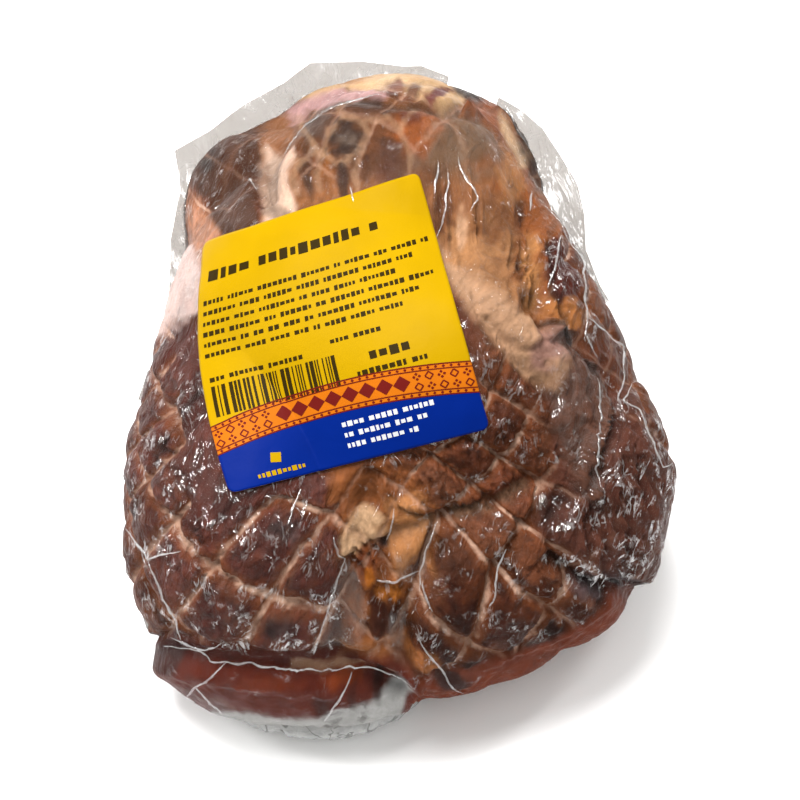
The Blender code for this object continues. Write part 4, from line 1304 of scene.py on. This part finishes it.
class Print:
    """Flat shapes of one ink laid over the label, in label millimetres from its top left corner."""

    def __init__(self, sheet, name, colour, lift):
        self.sheet, self.name, self.colour, self.lift = sheet, name, colour, lift
        self.points, self.faces, self.count = [], [], 0

    def quad(self, corners, cell=1.0):
        """A four-cornered shape, its corners in order round it, cut into cells that follow the label."""
        a, b, c, d = (np.array(p, float) for p in corners)
        columns = max(1, int(np.ceil(max(np.linalg.norm(b - a), np.linalg.norm(c - d)) / cell)))
        rows = max(1, int(np.ceil(max(np.linalg.norm(d - a), np.linalg.norm(c - b)) / cell)))
        v, u = np.meshgrid(np.linspace(0, 1, rows + 1), np.linspace(0, 1, columns + 1), indexing="ij")
        u, v = u[..., None], v[..., None]
        places = (a * (1 - u) + b * u) * (1 - v) + (d * (1 - u) + c * u) * v
        self.grid(places)

    def grid(self, places):
        rows, columns = places.shape[0] - 1, places.shape[1] - 1
        self.points.append(self.sheet.points(places / LABEL_SIZE, self.lift).reshape(-1, 3))
        self.faces.append(grid_faces(rows, columns, self.count))
        self.count += (rows + 1) * (columns + 1)

    def box(self, x, y, width, height, turn=0.0):
        """A rectangle by its middle, turned by an angle in degrees."""
        c, s = math.cos(math.radians(turn)), math.sin(math.radians(turn))
        corners = [(-1, -1), (1, -1), (1, 1), (-1, 1)]
        half = [(i * width / 2, j * height / 2) for i, j in corners]
        self.quad([(x + p * c - q * s, y + p * s + q * c) for p, q in half])

    def finish(self):
        made = mesh_object(self.name, np.concatenate(self.points), np.concatenate(self.faces))
        made.data.materials.append(print_material(self.name + " ink", self.colour))
        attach(made, "root")


def words(ink, x, y, width, height, seed, longest=9):
    """A line of print shown as plain dashes: each one the size of a letter, in groups as long as words."""
    rng = np.random.default_rng(seed)
    end = x + width
    while x < end:
        for _ in range(rng.integers(2, longest)):
            letter = height * rng.choice([0.35, 0.5, 0.55, 0.65])
            if x + letter > end:
                return
            ink.box(x + letter / 2, y - height * 0.36, letter, height * rng.choice([0.5, 0.6, 0.72]))
            x += letter + 0.2 * height
        x += 0.5 * height


def bar_code(ink, x, y, width, height, seed):
    """Upright bars of chance widths."""
    rng = np.random.default_rng(seed)
    end = x + width
    while x < end:
        bar = BAR_MODULE * rng.choice([1, 1, 2, 3])
        ink.box(x + bar / 2, y + height / 2, bar, height)
        x += bar + BAR_MODULE * rng.choice([1, 1, 2, 3])


def ornament(ink):
    """Rows of squares and crosses at both ends of the band, as on woven cloth."""
    for start, end in ((1.5, 14.0), (53.0, 65.5)):
        for i, x in enumerate(np.arange(start, end, 3.1)):
            for j, low in enumerate((0.34, 0.66)):
                y = band_edge(x, low)
                crossed = (i + j) % 2
                out, width, height = (0.75, 1.5, 0.35) if crossed else (0.7, 0.6, 0.6)
                for turn in range(0, 360, 90):
                    angle = math.radians(turn + 45 * crossed)
                    ink.box(x + out * math.cos(angle), y + out * math.sin(angle), width, height,
                            turn + 135 if crossed else 45)


def make_print(sheet):
    columns = np.linspace(0.0, LABEL_SIZE[0], LABEL_CELLS + 1)
    maroon = Print(sheet, "print_maroon", LABEL_MAROON, 0.08)
    for low, width in ((0.02, 0.35), (0.17, 0.3), (0.83, 0.3), (0.98, 0.35)):
        line = band_edge(columns, low) + width * np.linspace(-0.5, 0.5, 3)[:, None]
        maroon.grid(np.stack([np.broadcast_to(columns, line.shape), line], axis=-1))
    for low in (0.095, 0.905):
        for x in np.arange(1.2, LABEL_SIZE[0] - 0.6, 1.9):
            maroon.box(x, band_edge(x, low), 0.6, 0.6, 45)
    ornament(maroon)
    for x in np.linspace(18.5, 49.0, 8):
        maroon.box(x, band_edge(x, 0.5), 3.1, 3.1, 45)
    maroon.finish()
    black = Print(sheet, "print_black", LABEL_BLACK, 0.06)
    words(black, 2.5, 12.0, 52.0, 4.2, 601, 12)
    for i in range(6):
        words(black, 1.6, 18.6 + 3.0 * i, LABEL_SIZE[0] - 3.5 - 5.0 * (i % 3), 1.9, 610 + i)
    words(black, 34.0, 38.6, 14.0, 2.0, 630)
    words(black, 2.0, 40.5, 26.0, 2.0, 631)
    bar_code(black, 2.0, 41.6, 33.0, 8.6, 640)
    words(black, 43.0, 45.5, 12.0, 3.6, 650)
    words(black, 39.0, 49.0, 19.0, 2.2, 651)
    black.finish()
    white = Print(sheet, "print_white", LABEL_WHITE, 0.07)
    for i in range(3):
        words(white, 32.0, 61.2 + 2.9 * i, 26.0 - 3 * i, 2.0, 660 + i)
    white.finish()
    gold = Print(sheet, "print_yellow", LABEL_YELLOW, 0.07)
    gold.box(13.5, 64.6, 2.6, 2.6, 12)
    words(gold, 8.0, 69.2, 12.5, 1.9, 680, 12)
    gold.finish()


# The camera and the studio


def aim(made, place, target):
    made.location = place
    made.rotation_euler = (Vector(target) - Vector(place)).to_track_quat("-Z", "Y").to_euler()


def make_camera():
    data = bpy.data.cameras.new("camera")
    data.sensor_width = SENSOR
    data.lens = SENSOR * VIEW_DISTANCE / PICTURE_WIDTH
    data.clip_start = 0.05
    camera = bpy.data.objects.new("camera", data)
    bpy.context.scene.collection.objects.link(camera)
    heart = (HEART + SHIFT) * MM
    aim(camera, tuple(heart + VIEW_BACK * VIEW_DISTANCE * MM), tuple(heart))
    bpy.context.scene.camera = camera


def make_studio():
    mesh = bpy.data.meshes.new("floor")
    corners = [(-1, -1), (1, -1), (1, 1), (-1, 1)]
    mesh.from_pydata([(x * FLOOR_HALF, y * FLOOR_HALF, 0) for x, y in corners], [], [(0, 1, 2, 3)])
    floor = bpy.data.objects.new("floor", mesh)
    bpy.context.scene.collection.objects.link(floor)
    s = Shader("floor")
    s.set(Base_Color=FLOOR_WHITE, Roughness=0.9, Specular_IOR_Level=0.0)
    mesh.materials.append(s.material)
    for name, (place, size, power) in LAMPS.items():
        data = bpy.data.lights.new(name, "AREA")
        data.shape = "RECTANGLE"
        data.size, data.size_y = size
        data.energy = power
        lamp = bpy.data.objects.new(name, data)
        bpy.context.scene.collection.objects.link(lamp)
        aim(lamp, place, LAMP_TARGET)
    world = bpy.data.worlds.new("studio")
    world.use_nodes = True
    background = world.node_tree.nodes["Background"]
    background.inputs["Color"].default_value = SKY_WHITE
    background.inputs["Strength"].default_value = SKY_STRENGTH
    bpy.context.scene.world = world
    bpy.context.scene.view_settings.view_transform = "Standard"


def main():
    make_camera()
    meat = meat_material()
    make_meat("meat_top", FINE_CELLS, CAP_ANGLE, 1.0, 0.0, meat)
    make_meat("meat_base", BASE_CELLS, BASE_ANGLE, -1.0, BASE_DROP, meat)
    clear = film_material("clear film", (0.0, 0.0), 2.5, 2.2)
    film = make_film("film_top", FILM_CELLS, CAP_ANGLE, 1.0, 0.0, clear)
    make_film("film_base", BASE_CELLS, BASE_ANGLE, -1.0, BASE_DROP, clear)
    make_tail()
    make_film_edge()
    make_creases(film)
    make_print(make_label())
    make_studio()


main()
